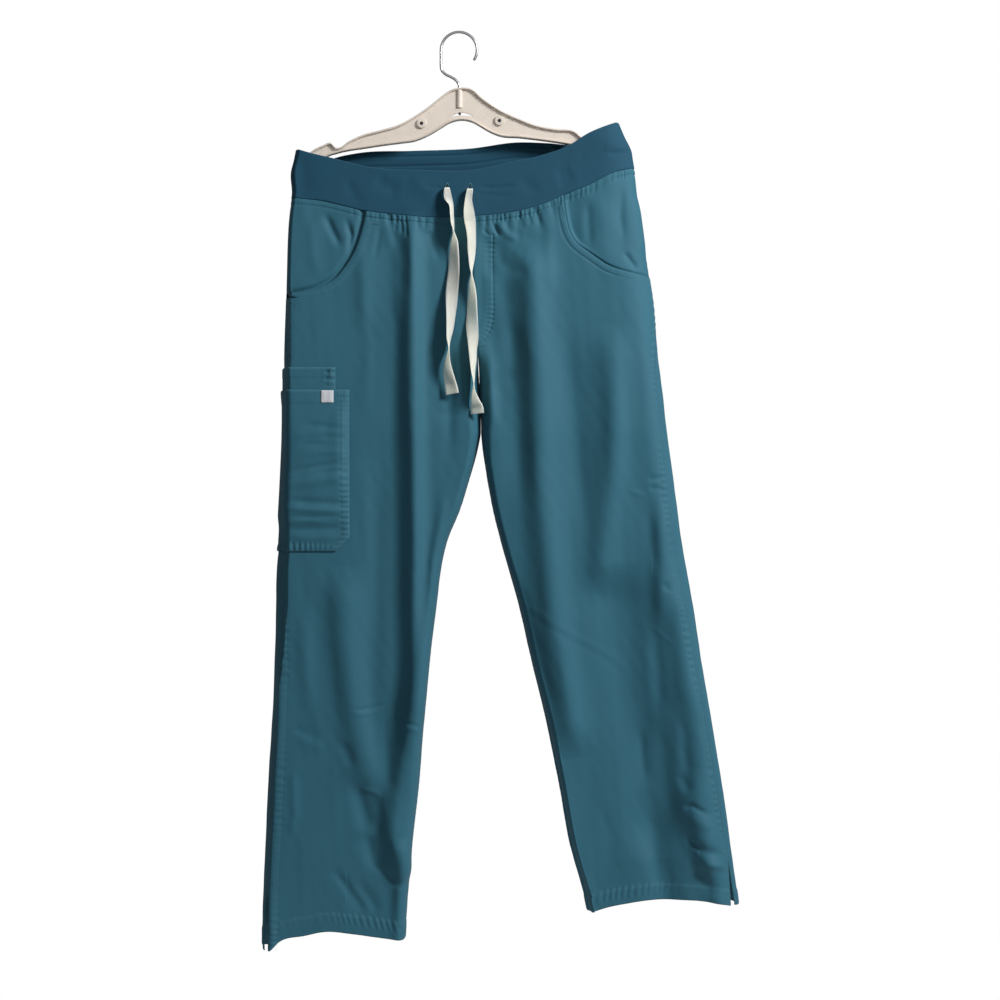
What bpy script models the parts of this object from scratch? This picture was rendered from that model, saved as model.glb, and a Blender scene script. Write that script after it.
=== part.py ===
"""Scrub trousers hanging by their waistband from a clear plastic hanger.

The frame has +Z up and the front of the trousers facing -Y. The origin is the underside of the top of the
hook, where it bears on a rail. Sizes and tables are in millimetres and the meshes are in metres. Right and
left are the wearer's, so the right leg lies on the -X side.
"""

import math
from collections import namedtuple

import bmesh
import bpy
import numpy as np

MM = 0.001
FRONT, BACK = -1, 1

# Cloth
CLOTH = 1.2  # wall of a panel, pocket or facing
BAND_WALL = 3.0  # two layers of knit over the elastic
BAND_PROUD = 0.8  # how far the waistband stands out from the panels
BAND_COLUMNS = 16  # on each side of the centre
BAND_ROWS = 4
SEAM_GAP = 0.3
HALF_GAP = SEAM_GAP / 2

# The outline of the trousers and the depth of the hollow, level by level. The inner columns are the centre
# seam down to the split, then each leg's inseam.
Level = namedtuple("Level", "z right_out right_in left_in left_out front_depth back_depth")
LEVELS = (
    Level(-1195, -256, -71, 177, 371, 24, 24),
    Level(-1127, -255, -68, 164, 363, 23, 24),
    Level(-1049, -252, -61, 143, 352, 22, 24),
    Level(-971, -248, -52, 129, 341, 22, 24),
    Level(-893, -243, -46, 113, 328, 22, 24),
    Level(-815, -240, -39, 94, 315, 23, 25),
    Level(-737, -238, -29, 76, 303, 24, 26),
    Level(-698, -237, -24, 65, 296, 25, 27),
    Level(-659, -234, -15, 54, 289, 26, 29),
    Level(-620, -233, 1, 44, 284, 27, 31),
    Level(-581, -231, 13, 37, 279, 28, 32),
    Level(-542, -229.5, 24, 31, 273.5, 29, 34),
    Level(-520, -229, 28.5, 28.5, 270.5, 30, 35),
    Level(-470, -228, 27, 27, 265, 30, 37),
    Level(-425, -227.5, 25, 25, 259, 30, 38),
    Level(-347, -225, 21, 21, 252, 29, 37),
    Level(-308, -223.5, 18, 18, 246, 28, 35),
    Level(-269, -222.5, 13, 13, 240, 26, 32),
    Level(-230, -219.5, 10, 10, 234.5, 24, 28),
    Level(-212, -216.5, 9, 9, 232, 22.5, 26),
    Level(-180, -217.5, 8, 8, 228, 20, 23),
    Level(-166, -214, 7, 7, 225.5, 19, 21),
    Level(-152, -211, 6.5, 6.5, 223, 18.5, 20.5),
    Level(-136, -208, 6, 6, 215, 18, 20),
    Level(-112, -206, 5, 5, 205, 18, 20),
)
CROTCH_Z = -470
VALLEY_TOP_Z = {FRONT: -395, BACK: -380}  # below here the centre seams turn in towards the crotch

# How the hollow's sides are rounded: how wide each corner is, and its share of a panel's columns
Corner = namedtuple("Corner", "z right_side left_side inner")
CORNERS = (
    Corner(-1150, 12, 34, 9),
    Corner(-1000, 12, 36, 9),
    Corner(-850, 10, 38, 9),
    Corner(-740, 18, 44, 9),
    Corner(-560, 16, 44, 10),
    Corner(-480, 13.5, 44, 20),
    Corner(-414, 10.5, 44, 20),
    Corner(-350, 8.5, 44, 20),
)
CHAMFER = {"right": 0.8, "left": 0.0}  # how far a side is creased flat rather than round
OUT_SHARE = 0.2
IN_SHARE = 0.2
FINE_STEP = 0.001
FOLD_STEP = 0.02  # at the fold of the side, outward directions are the mean over this share on each side

# The outseams lie on the front, this far round from the fold of the side
SeamTurn = namedtuple("SeamTurn", "z right_deg left_deg")
SEAM_TURNS = (
    SeamTurn(-1150, 72, 34),
    SeamTurn(-1066, 72, 37),
    SeamTurn(-1000, 72, 43),
    SeamTurn(-850, 70, 43),
    SeamTurn(-740, 51, 43),
    SeamTurn(-640, 51, 42),
    SeamTurn(-515, 51, 35),
    SeamTurn(-440, 45, 30),
    SeamTurn(-400, 28, 14),
    SeamTurn(-378, 0, 0),
)

# Edges across the trousers: top of the waistband, waist seam and hems
Edge = namedtuple("Edge", "x z")
BAND_TOP = {
    FRONT: (
        Edge(-211, -152.5), Edge(-190, -158.5), Edge(-166, -164), Edge(-105, -178), Edge(-47, -181), Edge(14, -181),
        Edge(68, -170), Edge(100, -163), Edge(142, -149), Edge(171, -135), Edge(219, -117),
    ),
    BACK: (
        Edge(-211, -152.5), Edge(-168, -160), Edge(-154, -156), Edge(-130, -151.5), Edge(-64, -149),
        Edge(14, -146), Edge(78, -138), Edge(120, -139), Edge(150, -141), Edge(180, -135), Edge(219, -117),
    ),
}
WAIST_SEAM = {
    FRONT: (
        Edge(-218, -217), Edge(-200, -219), Edge(-173, -222), Edge(-148, -228), Edge(-123, -234), Edge(-85, -239),
        Edge(-41, -243), Edge(-5, -243), Edge(25, -241), Edge(60, -237.5), Edge(89, -231.5), Edge(107, -226),
        Edge(138, -213), Edge(175, -198.5), Edge(200, -186), Edge(230, -177),
    ),
    BACK: (
        Edge(-218, -217), Edge(-168, -218), Edge(-100, -215), Edge(14, -209), Edge(75, -202),
        Edge(142, -191), Edge(230, -177),
    ),
}
HEM = {
    "right": (
        Edge(-256, -1184), Edge(-247, -1188), Edge(-230, -1175), Edge(-198, -1168), Edge(-173, -1163),
        Edge(-134, -1166), Edge(-105, -1170), Edge(-72, -1174),
    ),
    "left": (
        Edge(170, -1140), Edge(197, -1132), Edge(222, -1127), Edge(247, -1123), Edge(281, -1122),
        Edge(313, -1122), Edge(338, -1125), Edge(362, -1131),
    ),
}
BAND_Z = -150  # where columns are spread to read the waistband's top, the waist seam and the hems
WAIST_Z = -218
HEM_Z = -1150

# Open vents at the foot of each outseam
VENT_TOP = {"right": -1108, "left": -1066}
VENT_SHIFT = {"right": 1.5, "left": 9}  # how far the front flap's edge falls back at the hem
VENT_FLARE = 3

# Long folds: crests (height above 0) and troughs (below 0) along a line of points
Fold = namedtuple("Fold", "face height half_width line")
FOLDS = (
    Fold(
        FRONT, 12, 13,
        ((-60, -235), (-60, -420), (-57, -640), (-57, -760), (-58, -863), (-72, -940), (-82, -1040), (-76, -1100)),
    ),
    Fold(FRONT, 5, 13, ((1, -400), (3, -440), (4, -500))),
    Fold(FRONT, 3, 12, ((-123, -270), (-122, -340), (-120, -400))),
    Fold(FRONT, 7, 20, ((-150, -690), (-146, -786), (-138, -863), (-124, -928), (-100, -1000))),
    Fold(FRONT, 12, 21, ((93, -270), (101, -450), (104, -560), (111, -640), (125, -780), (141, -863), (152, -940))),
    Fold(FRONT, 5, 12, ((38, -400), (40, -470), (44, -520))),
    Fold(FRONT, 7, 19, ((196, -380), (200, -520), (190, -640), (179, -730))),
    Fold(FRONT, 6, 13, ((262, -600), (261, -700), (262, -780))),
    Fold(FRONT, -9, 34, ((198, -690), (212, -780), (224, -870), (246, -990), (258, -1070))),
    Fold(FRONT, 5, 20, ((284, -700), (290, -800), (300, -900))),
    Fold(FRONT, 7, 17, ((306, -950), (306, -1010), (317, -1050), (334, -1110))),
    Fold(BACK, 7, 22, ((-110, -330), (-104, -560), (-120, -800), (-128, -980))),
    Fold(BACK, 5, 18, ((-170, -700), (-165, -860), (-180, -1060))),
    Fold(BACK, 8, 24, ((130, -320), (140, -560), (176, -780), (214, -1000))),
    Fold(BACK, 5, 18, ((210, -420), (228, -620), (262, -860))),
    Fold(BACK, 5, 18, ((-40, -300), (-36, -420), (-44, -560))),
    Fold(BACK, 5, 18, ((70, -300), (72, -420), (84, -560))),
)
FOLD_FADE = 60  # a fold dies away over this length at each end

# Gathers under the waist seam
GATHERS = {"right": 18, "left": 20}
GATHER_STEPS = 4  # columns to a gather
GATHER_HEIGHT = 1.8
GATHER_DROPS = (0, 5, 14)  # rows that carry the gathers, below the seam
GATHER_FULL = 5  # drop at which they stand highest
GATHER_END = 30
GATHER_AT_SEAM = 0.45  # share of the height that the seam leaves them
GATHER_MARGIN = 0.04  # share of the panel's width left flat at each side

# Panels: columns across, and rows as shares of the drop from waist seam to hem
COLUMNS = {FRONT: 20, BACK: 15}
ROWS = (
    0.07, 0.115, 0.16, 0.195, 0.225, 0.25, 0.28, 0.32, 0.36, 0.41, 0.46,
    0.52, 0.58, 0.64, 0.70, 0.76, 0.82, 0.875, 0.92, 0.96, 1.0,
)

# Scooped pocket mouths, from the waist seam to the outseam, and the facings under them
MOUTHS = {
    "right": (
        Edge(-117, -212), Edge(-120, -240), Edge(-126, -265), Edge(-134.5, -288), Edge(-147, -308),
        Edge(-158, -321), Edge(-174, -332), Edge(-194, -340), Edge(-232, -347),
    ),
    "left": (
        Edge(134, -195), Edge(136.5, -232), Edge(139.5, -249), Edge(144, -264), Edge(154, -278), Edge(169, -289),
        Edge(181, -297.5), Edge(192, -304.5), Edge(206, -310), Edge(225, -314.5), Edge(258, -320),
    ),
}
MOUTH_STEPS = 24
CUTTER_OUT = 60  # how far the mouths' cutter passes the panel's edges
CUTTER_FRONT = -90
CUTTER_BACK = 10
FACING_OVERLAP = 12
FACING_SUNK = 0.5  # below the panel's outer face, where it shows
FACING_UNDER = 2.1  # below it under the panel
FACING_SLOPE = 12  # it sinks over this width, and is down by FACING_DOWN before the mouth's edge
FACING_DOWN = 10
FACING_DROP = 0.5  # its top edge, below the waist seam
FACING_COLUMNS = 9
FACING_ROWS = 9
FACING_PROBES = 400
FACING_LEAST = 0.03  # least width, as a share of the face

# Cargo pocket on the right thigh: tops, foot, and how far each pocket reaches over the front and the back
PocketCut = namedtuple("PocketCut", "top foot front_x back_x mitre lay belly")
INNER_POCKET = PocketCut(-436, -600, -158, -176, 0, 0.6, 1.0)
OUTER_POCKET = PocketCut(-465, -673, -140, -168, 18, 0.65, 4.0)
POCKET_OVER = 1.8  # extra lay of the outer pocket where it covers the inner one
POCKET_COLUMNS = 4  # on each flat; the rounded side has three times as many
POCKET_ROWS = (0, 0.08, 0.2, 0.38, 0.56, 0.74, 0.9, 1)
TAG_SIZE = 16
TAG_CENTRE = (-168, -474)
TAG_WALL = 1.0

# Drawstring: flat tape, one row for each point that the tape passes
TAPE_WALL = 1.2
TAPE_RINGS = 34
TapePoint = namedtuple("TapePoint", "x y z width turn_deg")
TAPES = {
    "drawstring_right": (
        TapePoint(-14.8, -23.3, -204.5, 6, 0), TapePoint(-14.8, -29, -206.5, 7.5, -5),
        TapePoint(-13.4, -31.5, -219, 11.5, -28), TapePoint(-9.6, -33, -228.5, 14, -66),
        TapePoint(-8.6, -34, -241.5, 15.5, -74), TapePoint(-7.6, -35.5, -254, 16, -78),
        TapePoint(-6.2, -36.5, -263, 16, -92), TapePoint(-5.6, -35.2, -273.5, 16, -122),
        TapePoint(-5.9, -34, -286, 16, -140), TapePoint(-6, -33, -312, 16, -158),
        TapePoint(-8.2, -33, -337.5, 16, -183), TapePoint(-9.5, -35.8, -363, 16, -217),
        TapePoint(-11, -38.2, -389, 16, -240), TapePoint(-12.3, -39.5, -401.5, 16, -255),
        TapePoint(-12, -40.3, -412, 16, -271), TapePoint(-12.9, -41, -421, 16, -286),
        TapePoint(-13.5, -41, -430, 16.2, -300), TapePoint(-13, -39.5, -443, 16.6, -322),
        TapePoint(-9, -37.2, -463, 17, -343), TapePoint(-7.6, -36.8, -470.8, 17, -350),
    ),
    "drawstring_left": (
        TapePoint(14.7, -23.4, -206, 6, 0), TapePoint(14.7, -29, -208, 7.5, -5),
        TapePoint(12.8, -30, -219.5, 10, -28), TapePoint(13.2, -30.5, -235, 15.5, -31),
        TapePoint(14.6, -31, -248, 16, -24), TapePoint(16.2, -33.8, -261, 16, -38),
        TapePoint(17.2, -34.8, -273.5, 16, -46), TapePoint(17.2, -35.2, -286, 16, -50),
        TapePoint(17.2, -36.4, -299, 16, -64), TapePoint(16.8, -37.2, -309, 16, -77),
        TapePoint(16.9, -37.6, -317, 16, -92), TapePoint(17.2, -37.2, -325, 16, -110),
        TapePoint(17.8, -36.4, -337.5, 16, -127), TapePoint(17.8, -35.4, -350, 16, -139),
        TapePoint(17.4, -34.6, -366, 16, -149), TapePoint(17.4, -34, -382, 16, -173),
        TapePoint(18.9, -35.8, -401.5, 16, -210), TapePoint(18.8, -37.6, -414.5, 16, -229),
        TapePoint(19.3, -38.5, -427, 16, -237), TapePoint(19.2, -39.4, -440, 16, -250),
        TapePoint(19.9, -40, -455, 16, -267), TapePoint(19.7, -39.6, -465.5, 16.2, -282),
        TapePoint(21.2, -37.6, -478.5, 16.6, -313), TapePoint(23.6, -35.4, -488.5, 17, -340),
        TapePoint(24.5, -35, -496, 17, -348),
    ),
}

# Hanger: an arched I-section, deepest at the middle, with a strap notch near each end
Arch = namedtuple("Arch", "x top bottom")
ARCH = (
    Arch(-213.3, -178, -183), Arch(-207, -169, -182), Arch(-190, -153, -173), Arch(-176, -146, -163),
    Arch(-166, -143, -158), Arch(-160, -149, -156.5), Arch(-155, -149, -155), Arch(-143, -141, -152.5),
    Arch(-126, -133, -150), Arch(-100, -126, -146), Arch(-77, -119, -143), Arch(-57, -108, -140),
    Arch(-38, -95, -132), Arch(-23, -83, -123), Arch(-12, -75, -116.5), Arch(4, -71, -113),
    Arch(18, -74, -116), Arch(28, -83, -121.5), Arch(38, -90.5, -127.5), Arch(52, -99.5, -133.5),
    Arch(79, -112, -136), Arch(100, -120, -138.5), Arch(126, -125, -142), Arch(150, -128, -146),
    Arch(162, -137, -148), Arch(168, -137, -149), Arch(174, -131, -151), Arch(185, -135, -153),
    Arch(200, -142, -157), Arch(212, -151, -161), Arch(219, -156, -162),
)
ARCH_STATIONS = 36
FLANGE = 2.6
HANGER_HALF = 5.0
WEB_HALF = 1.5
TIP_HALF = 2.5
TIP_RUN = 25
SLEEVE_RADIUS = 4.3
SLEEVE_FOOT = -97
BORE_RADIUS = 2.1
BORE_FOOT = -95

# Hook: round wire, bent over a rail
WIRE_RADIUS = 1.75
HOOK_RADIUS = 23.4  # to the middle of the wire
HOOK_SWEEP = 215  # degrees of arc, from the upright side over the top
SHANK_X = 0.5
SHANK = ((-42, -23.4), (-47.5, -22.5), (-52.5, -18.5), (-57, -10), (-61, -4), (-66, -0.4), (-72, 0.5))
SHANK_FOOT = -93.5

SKIN = {
    "cloth": ((0.035, 0.105, 0.155), 0.85, 0.0),
    "band": ((0.03, 0.09, 0.15), 0.9, 0.0),
    "tape": ((0.78, 0.74, 0.60), 0.9, 0.0),
    "tag": ((0.45, 0.47, 0.48), 0.6, 0.0),
    "clear": ((0.86, 0.84, 0.78), 0.12, 0.0),
    "wire": ((0.55, 0.55, 0.56), 0.25, 1.0),
}


def smooth(at, knots, values):
    """Values between the knots on a smooth curve through them; the knots rise."""
    knots = np.asarray(knots, float)
    values = np.asarray(values, float)
    slopes = np.gradient(values, knots)
    at = np.clip(at, knots[0], knots[-1])
    i = np.clip(np.searchsorted(knots, at) - 1, 0, len(knots) - 2)
    step = knots[i + 1] - knots[i]
    q = (at - knots[i]) / step
    return (
        (1 + 2 * q) * (1 - q) ** 2 * values[i]
        + q * (1 - q) ** 2 * step * slopes[i]
        + q * q * (3 - 2 * q) * values[i + 1]
        + q * q * (q - 1) * step * slopes[i + 1]
    )


def column(rows, name):
    return [getattr(row, name) for row in rows]


def edge_z(edges, x):
    return smooth(x, column(edges, "x"), column(edges, "z"))


def ease(q):
    q = np.clip(q, 0, 1)
    return q * q * (3 - 2 * q)


def at_level(name, z):
    return smooth(z, column(LEVELS, "z"), column(LEVELS, name))


def corner_width(name, z):
    return np.interp(z, column(CORNERS, "z"), column(CORNERS, name))


def seam_turn(side, z):
    """The angle from the side's fold round to the outseam, in radians."""
    return np.radians(np.interp(z, column(SEAM_TURNS, "z"), column(SEAM_TURNS, side + "_deg")))


def distance_to_line(x, z, line):
    """Distance from (x, z) to a line of points, and how far along the line the nearest point is."""
    best = np.full(np.shape(x), np.inf)
    along = np.zeros(np.shape(x))
    run = 0.0
    for (ax, az), (bx, bz) in zip(line, line[1:]):
        length = math.hypot(bx - ax, bz - az)
        t = np.clip(((x - ax) * (bx - ax) + (z - az) * (bz - az)) / length**2, 0, 1)
        far = np.hypot(x - ax - t * (bx - ax), z - az - t * (bz - az))
        nearer = far < best
        best = np.where(nearer, far, best)
        along = np.where(nearer, run + t * length, along)
        run += length
    return best, along, run


def fold_height(face, x, z):
    """How far the long folds lift the cloth of a face at (x, z)."""
    total = np.zeros(np.shape(x))
    for fold in FOLDS:
        if fold.face != face:
            continue
        far, along, length = distance_to_line(x, z, fold.line)
        fade = ease(along / FOLD_FADE + 0.15) * ease((length - along) / FOLD_FADE + 0.15)
        total += fold.height * np.exp(-((far / fold.half_width) ** 2)) * fade
    return total


def surface(side, face, s, z):
    """The outer surface of the trousers at height z: x and y.

    s is 0 at the fold of the side and 1 at the centre seam or inseam. Below 0 it runs round the fold onto
    the other face.
    """
    face = np.where(s < 0, -face, face)
    s = np.abs(s)
    outer = at_level(side + "_out", z)
    toward = 1 if side == "right" else -1
    centre = (at_level("right_in", z) + at_level("left_in", z)) / 2
    inner = toward * np.minimum(toward * at_level(side + "_in", z), toward * centre) - toward * HALF_GAP
    width = np.abs(inner - outer)
    depth = np.where(face == FRONT, at_level("front_depth", z), at_level("back_depth", z))
    valley_top = np.where(face == FRONT, VALLEY_TOP_Z[FRONT], VALLEY_TOP_Z[BACK])
    turned_in = ease((valley_top - z) / (valley_top - CROTCH_Z))
    most_turn = np.maximum(turned_in * (math.pi / 2 - HALF_GAP / depth), 1e-4)

    out_part = np.clip(s / OUT_SHARE, 0, 1)
    out_turn = out_part * math.pi / 2
    rounded, creased = 1 - CHAMFER[side], CHAMFER[side]
    flat = np.clip((s - OUT_SHARE) / (1 - OUT_SHARE - IN_SHARE), 0, 1)
    in_part = np.clip((s - 1 + IN_SHARE) / IN_SHARE, 0, 1)
    corner = corner_width(side + "_side", z)
    inner_corner = corner_width("inner", z)
    run = (
        corner * (rounded * (1 - np.cos(out_turn)) + creased * out_part)
        + flat * (width - corner - inner_corner)
        + inner_corner * np.sin(most_turn * in_part) / np.sin(most_turn)
    )
    x = outer + toward * run
    rise = rounded * np.sin(out_turn) + creased * out_part
    lift = np.where(face == FRONT, fold_height(FRONT, x, z), fold_height(BACK, x, z))
    return x, face * rise * (depth * np.cos(most_turn * in_part) + lift * np.cos(in_part * math.pi / 2))


def outward(side, face, s, z):
    """The level direction that points out of the hollow, at right angles to the surface."""
    step = np.where(np.abs(s) < FOLD_STEP, FOLD_STEP, FINE_STEP)
    low = np.maximum(s - step, -1)
    high = np.minimum(s + step, 1)
    x0, y0 = surface(side, face, low, z)
    x1, y1 = surface(side, face, high, z)
    along_x, along_y = x1 - x0, y1 - y0
    length = np.hypot(along_x, along_y)
    toward = 1 if side == "right" else -1
    turn = -face * toward / length
    return along_y * turn, -along_x * turn


def moved_out(side, face, s, z, lift):
    x, y = surface(side, face, s, z)
    nx, ny = outward(side, face, s, z)
    return np.stack([x + nx * lift, y + ny * lift, z + 0 * x], axis=-1)


def seam_share(side, face, z):
    """Where a panel's outer edge lies on the surface, half a seam gap clear of the outseam."""
    turn = seam_turn(side, z)
    rounded, creased = 1 - CHAMFER[side], CHAMFER[side] * 2 / math.pi
    speed = np.hypot(
        corner_width(side + "_side", z) * (rounded * np.sin(turn) + creased),
        at_level("front_depth", z) * (rounded * np.cos(turn) + creased),
    )
    return OUT_SHARE / (math.pi / 2) * (-face * turn + HALF_GAP / speed)


def panel_share(side, face, u, z):
    start = seam_share(side, face, z)
    return start + (1 - start) * u


def share_of_x(side, face, x, z):
    """The surface's s at which it passes x, on the open part of a face."""
    s = np.linspace(0, 1, 201)
    xs, _ = surface(side, face, s, np.full(s.shape, float(z)))
    order = np.argsort(xs)
    return float(np.interp(x, xs[order], s[order]))


def stitches(a, b, y_a, y_b):
    """Triangles between two rows of shares across, as (row, column) corners.

    Rows that match are split along the diagonal that runs more level in depth, which follows the folds.
    """
    i = j = 0
    if len(a) == len(b):
        for i in range(len(a) - 1):
            if abs(y_a[i + 1] - y_b[i]) <= abs(y_a[i] - y_b[i + 1]):
                yield (0, i), (1, i), (0, i + 1)
                yield (0, i + 1), (1, i), (1, i + 1)
            else:
                yield (0, i), (1, i), (1, i + 1)
                yield (0, i), (1, i + 1), (0, i + 1)
        return
    while i < len(a) - 1 or j < len(b) - 1:
        if j == len(b) - 1 or (i < len(a) - 1 and a[i + 1] <= b[j + 1]):
            yield (0, i), (1, j), (0, i + 1)
            i += 1
        else:
            yield (0, i), (1, j), (1, j + 1)
            j += 1


def material(name):
    found = bpy.data.materials.get(name)
    if found:
        return found
    colour, roughness, metallic = SKIN[name]
    made = bpy.data.materials.new(name)
    made.use_nodes = True
    shader = made.node_tree.nodes["Principled BSDF"]
    shader.inputs["Base Color"].default_value = (*colour, 1)
    shader.inputs["Roughness"].default_value = roughness
    shader.inputs["Metallic"].default_value = metallic
    return made


def new_object(name, bm, skin, sharp_deg=40):
    if bm.calc_volume(signed=True) < 0:
        bmesh.ops.reverse_faces(bm, faces=bm.faces[:])
    mesh = bpy.data.meshes.new(name)
    bm.to_mesh(mesh)
    bm.free()
    mesh.shade_smooth()
    mesh.set_sharp_from_angle(angle=math.radians(sharp_deg))
    obj = bpy.data.objects.new(name, mesh)
    mesh.materials.append(material(skin))
    bpy.context.scene.collection.objects.link(obj)
    return obj


def wall(name, rows, skin):
    """One closed wall. Each row is (shares across, outer points, inner points), from the top down."""
    bm = bmesh.new()
    corners = [
        [[bm.verts.new(np.asarray(point) * MM) for point in points] for points in (outer, inner)]
        for _, outer, inner in rows
    ]
    for k in range(len(rows) - 1):
        (shares_a, outer_a, _), (shares_b, outer_b, _) = rows[k], rows[k + 1]
        for triangle in stitches(shares_a, shares_b, np.asarray(outer_a)[:, 1], np.asarray(outer_b)[:, 1]):
            bm.faces.new([corners[k + row][0][i] for row, i in triangle])
            bm.faces.new([corners[k + row][1][i] for row, i in triangle[::-1]])
        for end in (0, -1):
            (a, a_in), (b, b_in) = corners[k], corners[k + 1]
            rim = [a[end], a_in[end], b_in[end], b[end]]
            bm.faces.new(rim if end == 0 else rim[::-1])
    for (outer, inner), flip in ((corners[0], False), (corners[-1], True)):
        for i in range(len(outer) - 1):
            rim = [outer[i], outer[i + 1], inner[i + 1], inner[i]]
            bm.faces.new(rim[::-1] if flip else rim)
    return new_object(name, bm, skin)


def loft(name, rings, skin):
    """A closed solid through rings of points, with flat ends."""
    bm = bmesh.new()
    rings = [[bm.verts.new(np.asarray(point) * MM) for point in ring] for ring in rings]
    for a, b in zip(rings, rings[1:]):
        for i in range(len(a)):
            j = (i + 1) % len(a)
            bm.faces.new([a[i], a[j], b[j], b[i]])
    bm.faces.new(rings[0][::-1])
    bm.faces.new(rings[-1])
    return new_object(name, bm, skin)


def prism(name, outline, y_low, y_high):
    """A cutter: an outline in X and Z, carried along Y."""
    bm = bmesh.new()
    low = [bm.verts.new((x * MM, y_low * MM, z * MM)) for x, z in outline]
    high = [bm.verts.new((x * MM, y_high * MM, z * MM)) for x, z in outline]
    bm.faces.new(low)
    bm.faces.new(high[::-1])
    for i in range(len(low)):
        j = (i + 1) % len(low)
        bm.faces.new([low[j], low[i], high[i], high[j]])
    cutter = new_object(name, bm, "cloth")
    cutter.hide_render = True
    cutter.display_type = "WIRE"
    return cutter


def add_boolean(target, tool, operation):
    modifier = target.modifiers.new(tool.name, "BOOLEAN")
    modifier.object = tool
    modifier.operation = operation
    modifier.solver = "EXACT"


def gather_height(side, u, drop):
    """The height of the gathers, at a share u across a panel and a drop below the waist seam."""
    wave = 0.5 - 0.5 * np.cos(2 * math.pi * GATHERS[side] * u)
    rise = GATHER_AT_SEAM + (1 - GATHER_AT_SEAM) * ease(drop / GATHER_FULL)
    fall = 1 - ease((drop - GATHER_FULL) / (GATHER_END - GATHER_FULL))
    ends = ease(u / GATHER_MARGIN) * ease((1 - u) / GATHER_MARGIN)
    return GATHER_HEIGHT * wave * rise * fall * ends


def waist_z(side, face, u):
    x, _ = surface(side, face, panel_share(side, face, u, WAIST_Z), np.full(u.shape, float(WAIST_Z)))
    return edge_z(WAIST_SEAM[face], x)


def hem_z(side, face, u):
    x, _ = surface(side, face, panel_share(side, face, u, HEM_Z), np.full(u.shape, float(HEM_Z)))
    return edge_z(HEM[side], x)


def panel_row(side, face, u, z, drop):
    """A row of a panel: its points outside and inside the wall."""
    s = panel_share(side, face, u, z)
    lift = gather_height(side, u, drop)
    outer = moved_out(side, face, s, z, lift)
    inner = moved_out(side, face, s, z, lift - CLOTH)
    opened = np.clip((VENT_TOP[side] - z) / (VENT_TOP[side] - HEM_Z), 0, 1.2)
    near = (1 - np.clip(u / OUT_SHARE, 0, 1)) ** 2
    toward = 1 if side == "right" else -1
    for points in (outer, inner):
        if face == FRONT:
            points[:, 0] += toward * VENT_SHIFT[side] * opened * near
            points[:, 1] -= VENT_FLARE * opened * near
    return u, outer, inner


def make_panel(side, face):
    fine = np.linspace(0, 1, GATHERS[side] * GATHER_STEPS + 1)
    coarse = np.linspace(0, 1, COLUMNS[face] + 1)
    rows = []
    for drop in GATHER_DROPS:
        rows.append(panel_row(side, face, fine, waist_z(side, face, fine) - drop, drop))
    top = waist_z(side, face, coarse)
    rows.append(panel_row(side, face, coarse, top - GATHER_END, GATHER_END))
    for share in ROWS:
        z = top + (hem_z(side, face, coarse) - top) * share
        rows.append(panel_row(side, face, coarse, z, top - z))
    name = ("front_" if face == FRONT else "back_") + side
    return wall(name, rows, "cloth")


def mouth_x(side, z):
    mouth = MOUTHS[side]
    return smooth(-z, [-point.z for point in mouth], column(mouth, "x"))


def cut_mouth(panel, side):
    """Takes the corner between the scooped mouth and the outseam out of a front panel."""
    mouth = MOUTHS[side]
    beyond = mouth[-1].x + math.copysign(CUTTER_OUT, mouth[-1].x)
    above = mouth[0].z + CUTTER_OUT
    z = np.linspace(mouth[0].z, mouth[-1].z, MOUTH_STEPS)
    outline = list(zip(mouth_x(side, z), z)) + [(beyond, mouth[-1].z), (beyond, above), (mouth[0].x, above)]
    add_boolean(panel, prism("mouth_cutter_" + side, outline, CUTTER_FRONT, CUTTER_BACK), "DIFFERENCE")


def facing_end(side, z_row):
    """How far towards the centre the facing reaches at a height."""
    mouth = MOUTHS[side]
    toward = 1 if side == "right" else -1
    x = np.linspace(mouth[-1].x, mouth[0].x + toward * 2 * FACING_OVERLAP, FACING_PROBES)
    z = np.full(x.shape, np.clip(z_row, mouth[-1].z - FACING_OVERLAP + 1, mouth[0].z - 2 * FACING_OVERLAP))
    far, _, _ = distance_to_line(x, z, [(point.x, point.z) for point in mouth])
    kept = x[(x * toward < mouth_x(side, z) * toward) | (far < FACING_OVERLAP)]
    return (kept * toward).max() * toward


def make_facing(side):
    mouth = MOUTHS[side]
    toward = 1 if side == "right" else -1
    columns = np.linspace(0, 1, FACING_COLUMNS + 1)
    foot = mouth[-1].z - FACING_OVERLAP + 1
    start = float(edge_z(WAIST_SEAM[FRONT], (mouth[0].x + mouth[-1].x) / 2))
    rows = []
    for share in np.linspace(0, 1, FACING_ROWS + 1):
        z_row = start + (foot - start) * share
        first = float(seam_share(side, FRONT, z_row))
        end = max(share_of_x(side, FRONT, facing_end(side, z_row), z_row), first + FACING_LEAST)
        s = first + (end - first) * columns
        top = waist_z(side, FRONT, (s - first) / (1 - first)) - FACING_DROP
        z = z_row + (top - start) * (1 - share)
        x, _ = surface(side, FRONT, s, z)
        far, _, _ = distance_to_line(x, z, [(point.x, point.z) for point in mouth])
        into = np.where(x * toward < mouth_x(side, z) * toward, far, -far)
        sunk = FACING_SUNK + (FACING_UNDER - FACING_SUNK) * (1 - ease((into - FACING_DOWN) / FACING_SLOPE))
        rows.append((columns, moved_out(side, FRONT, s, z, -sunk), moved_out(side, FRONT, s, z, -sunk - CLOTH)))
    return wall("pocket_facing_" + side, rows, "cloth")


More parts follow.
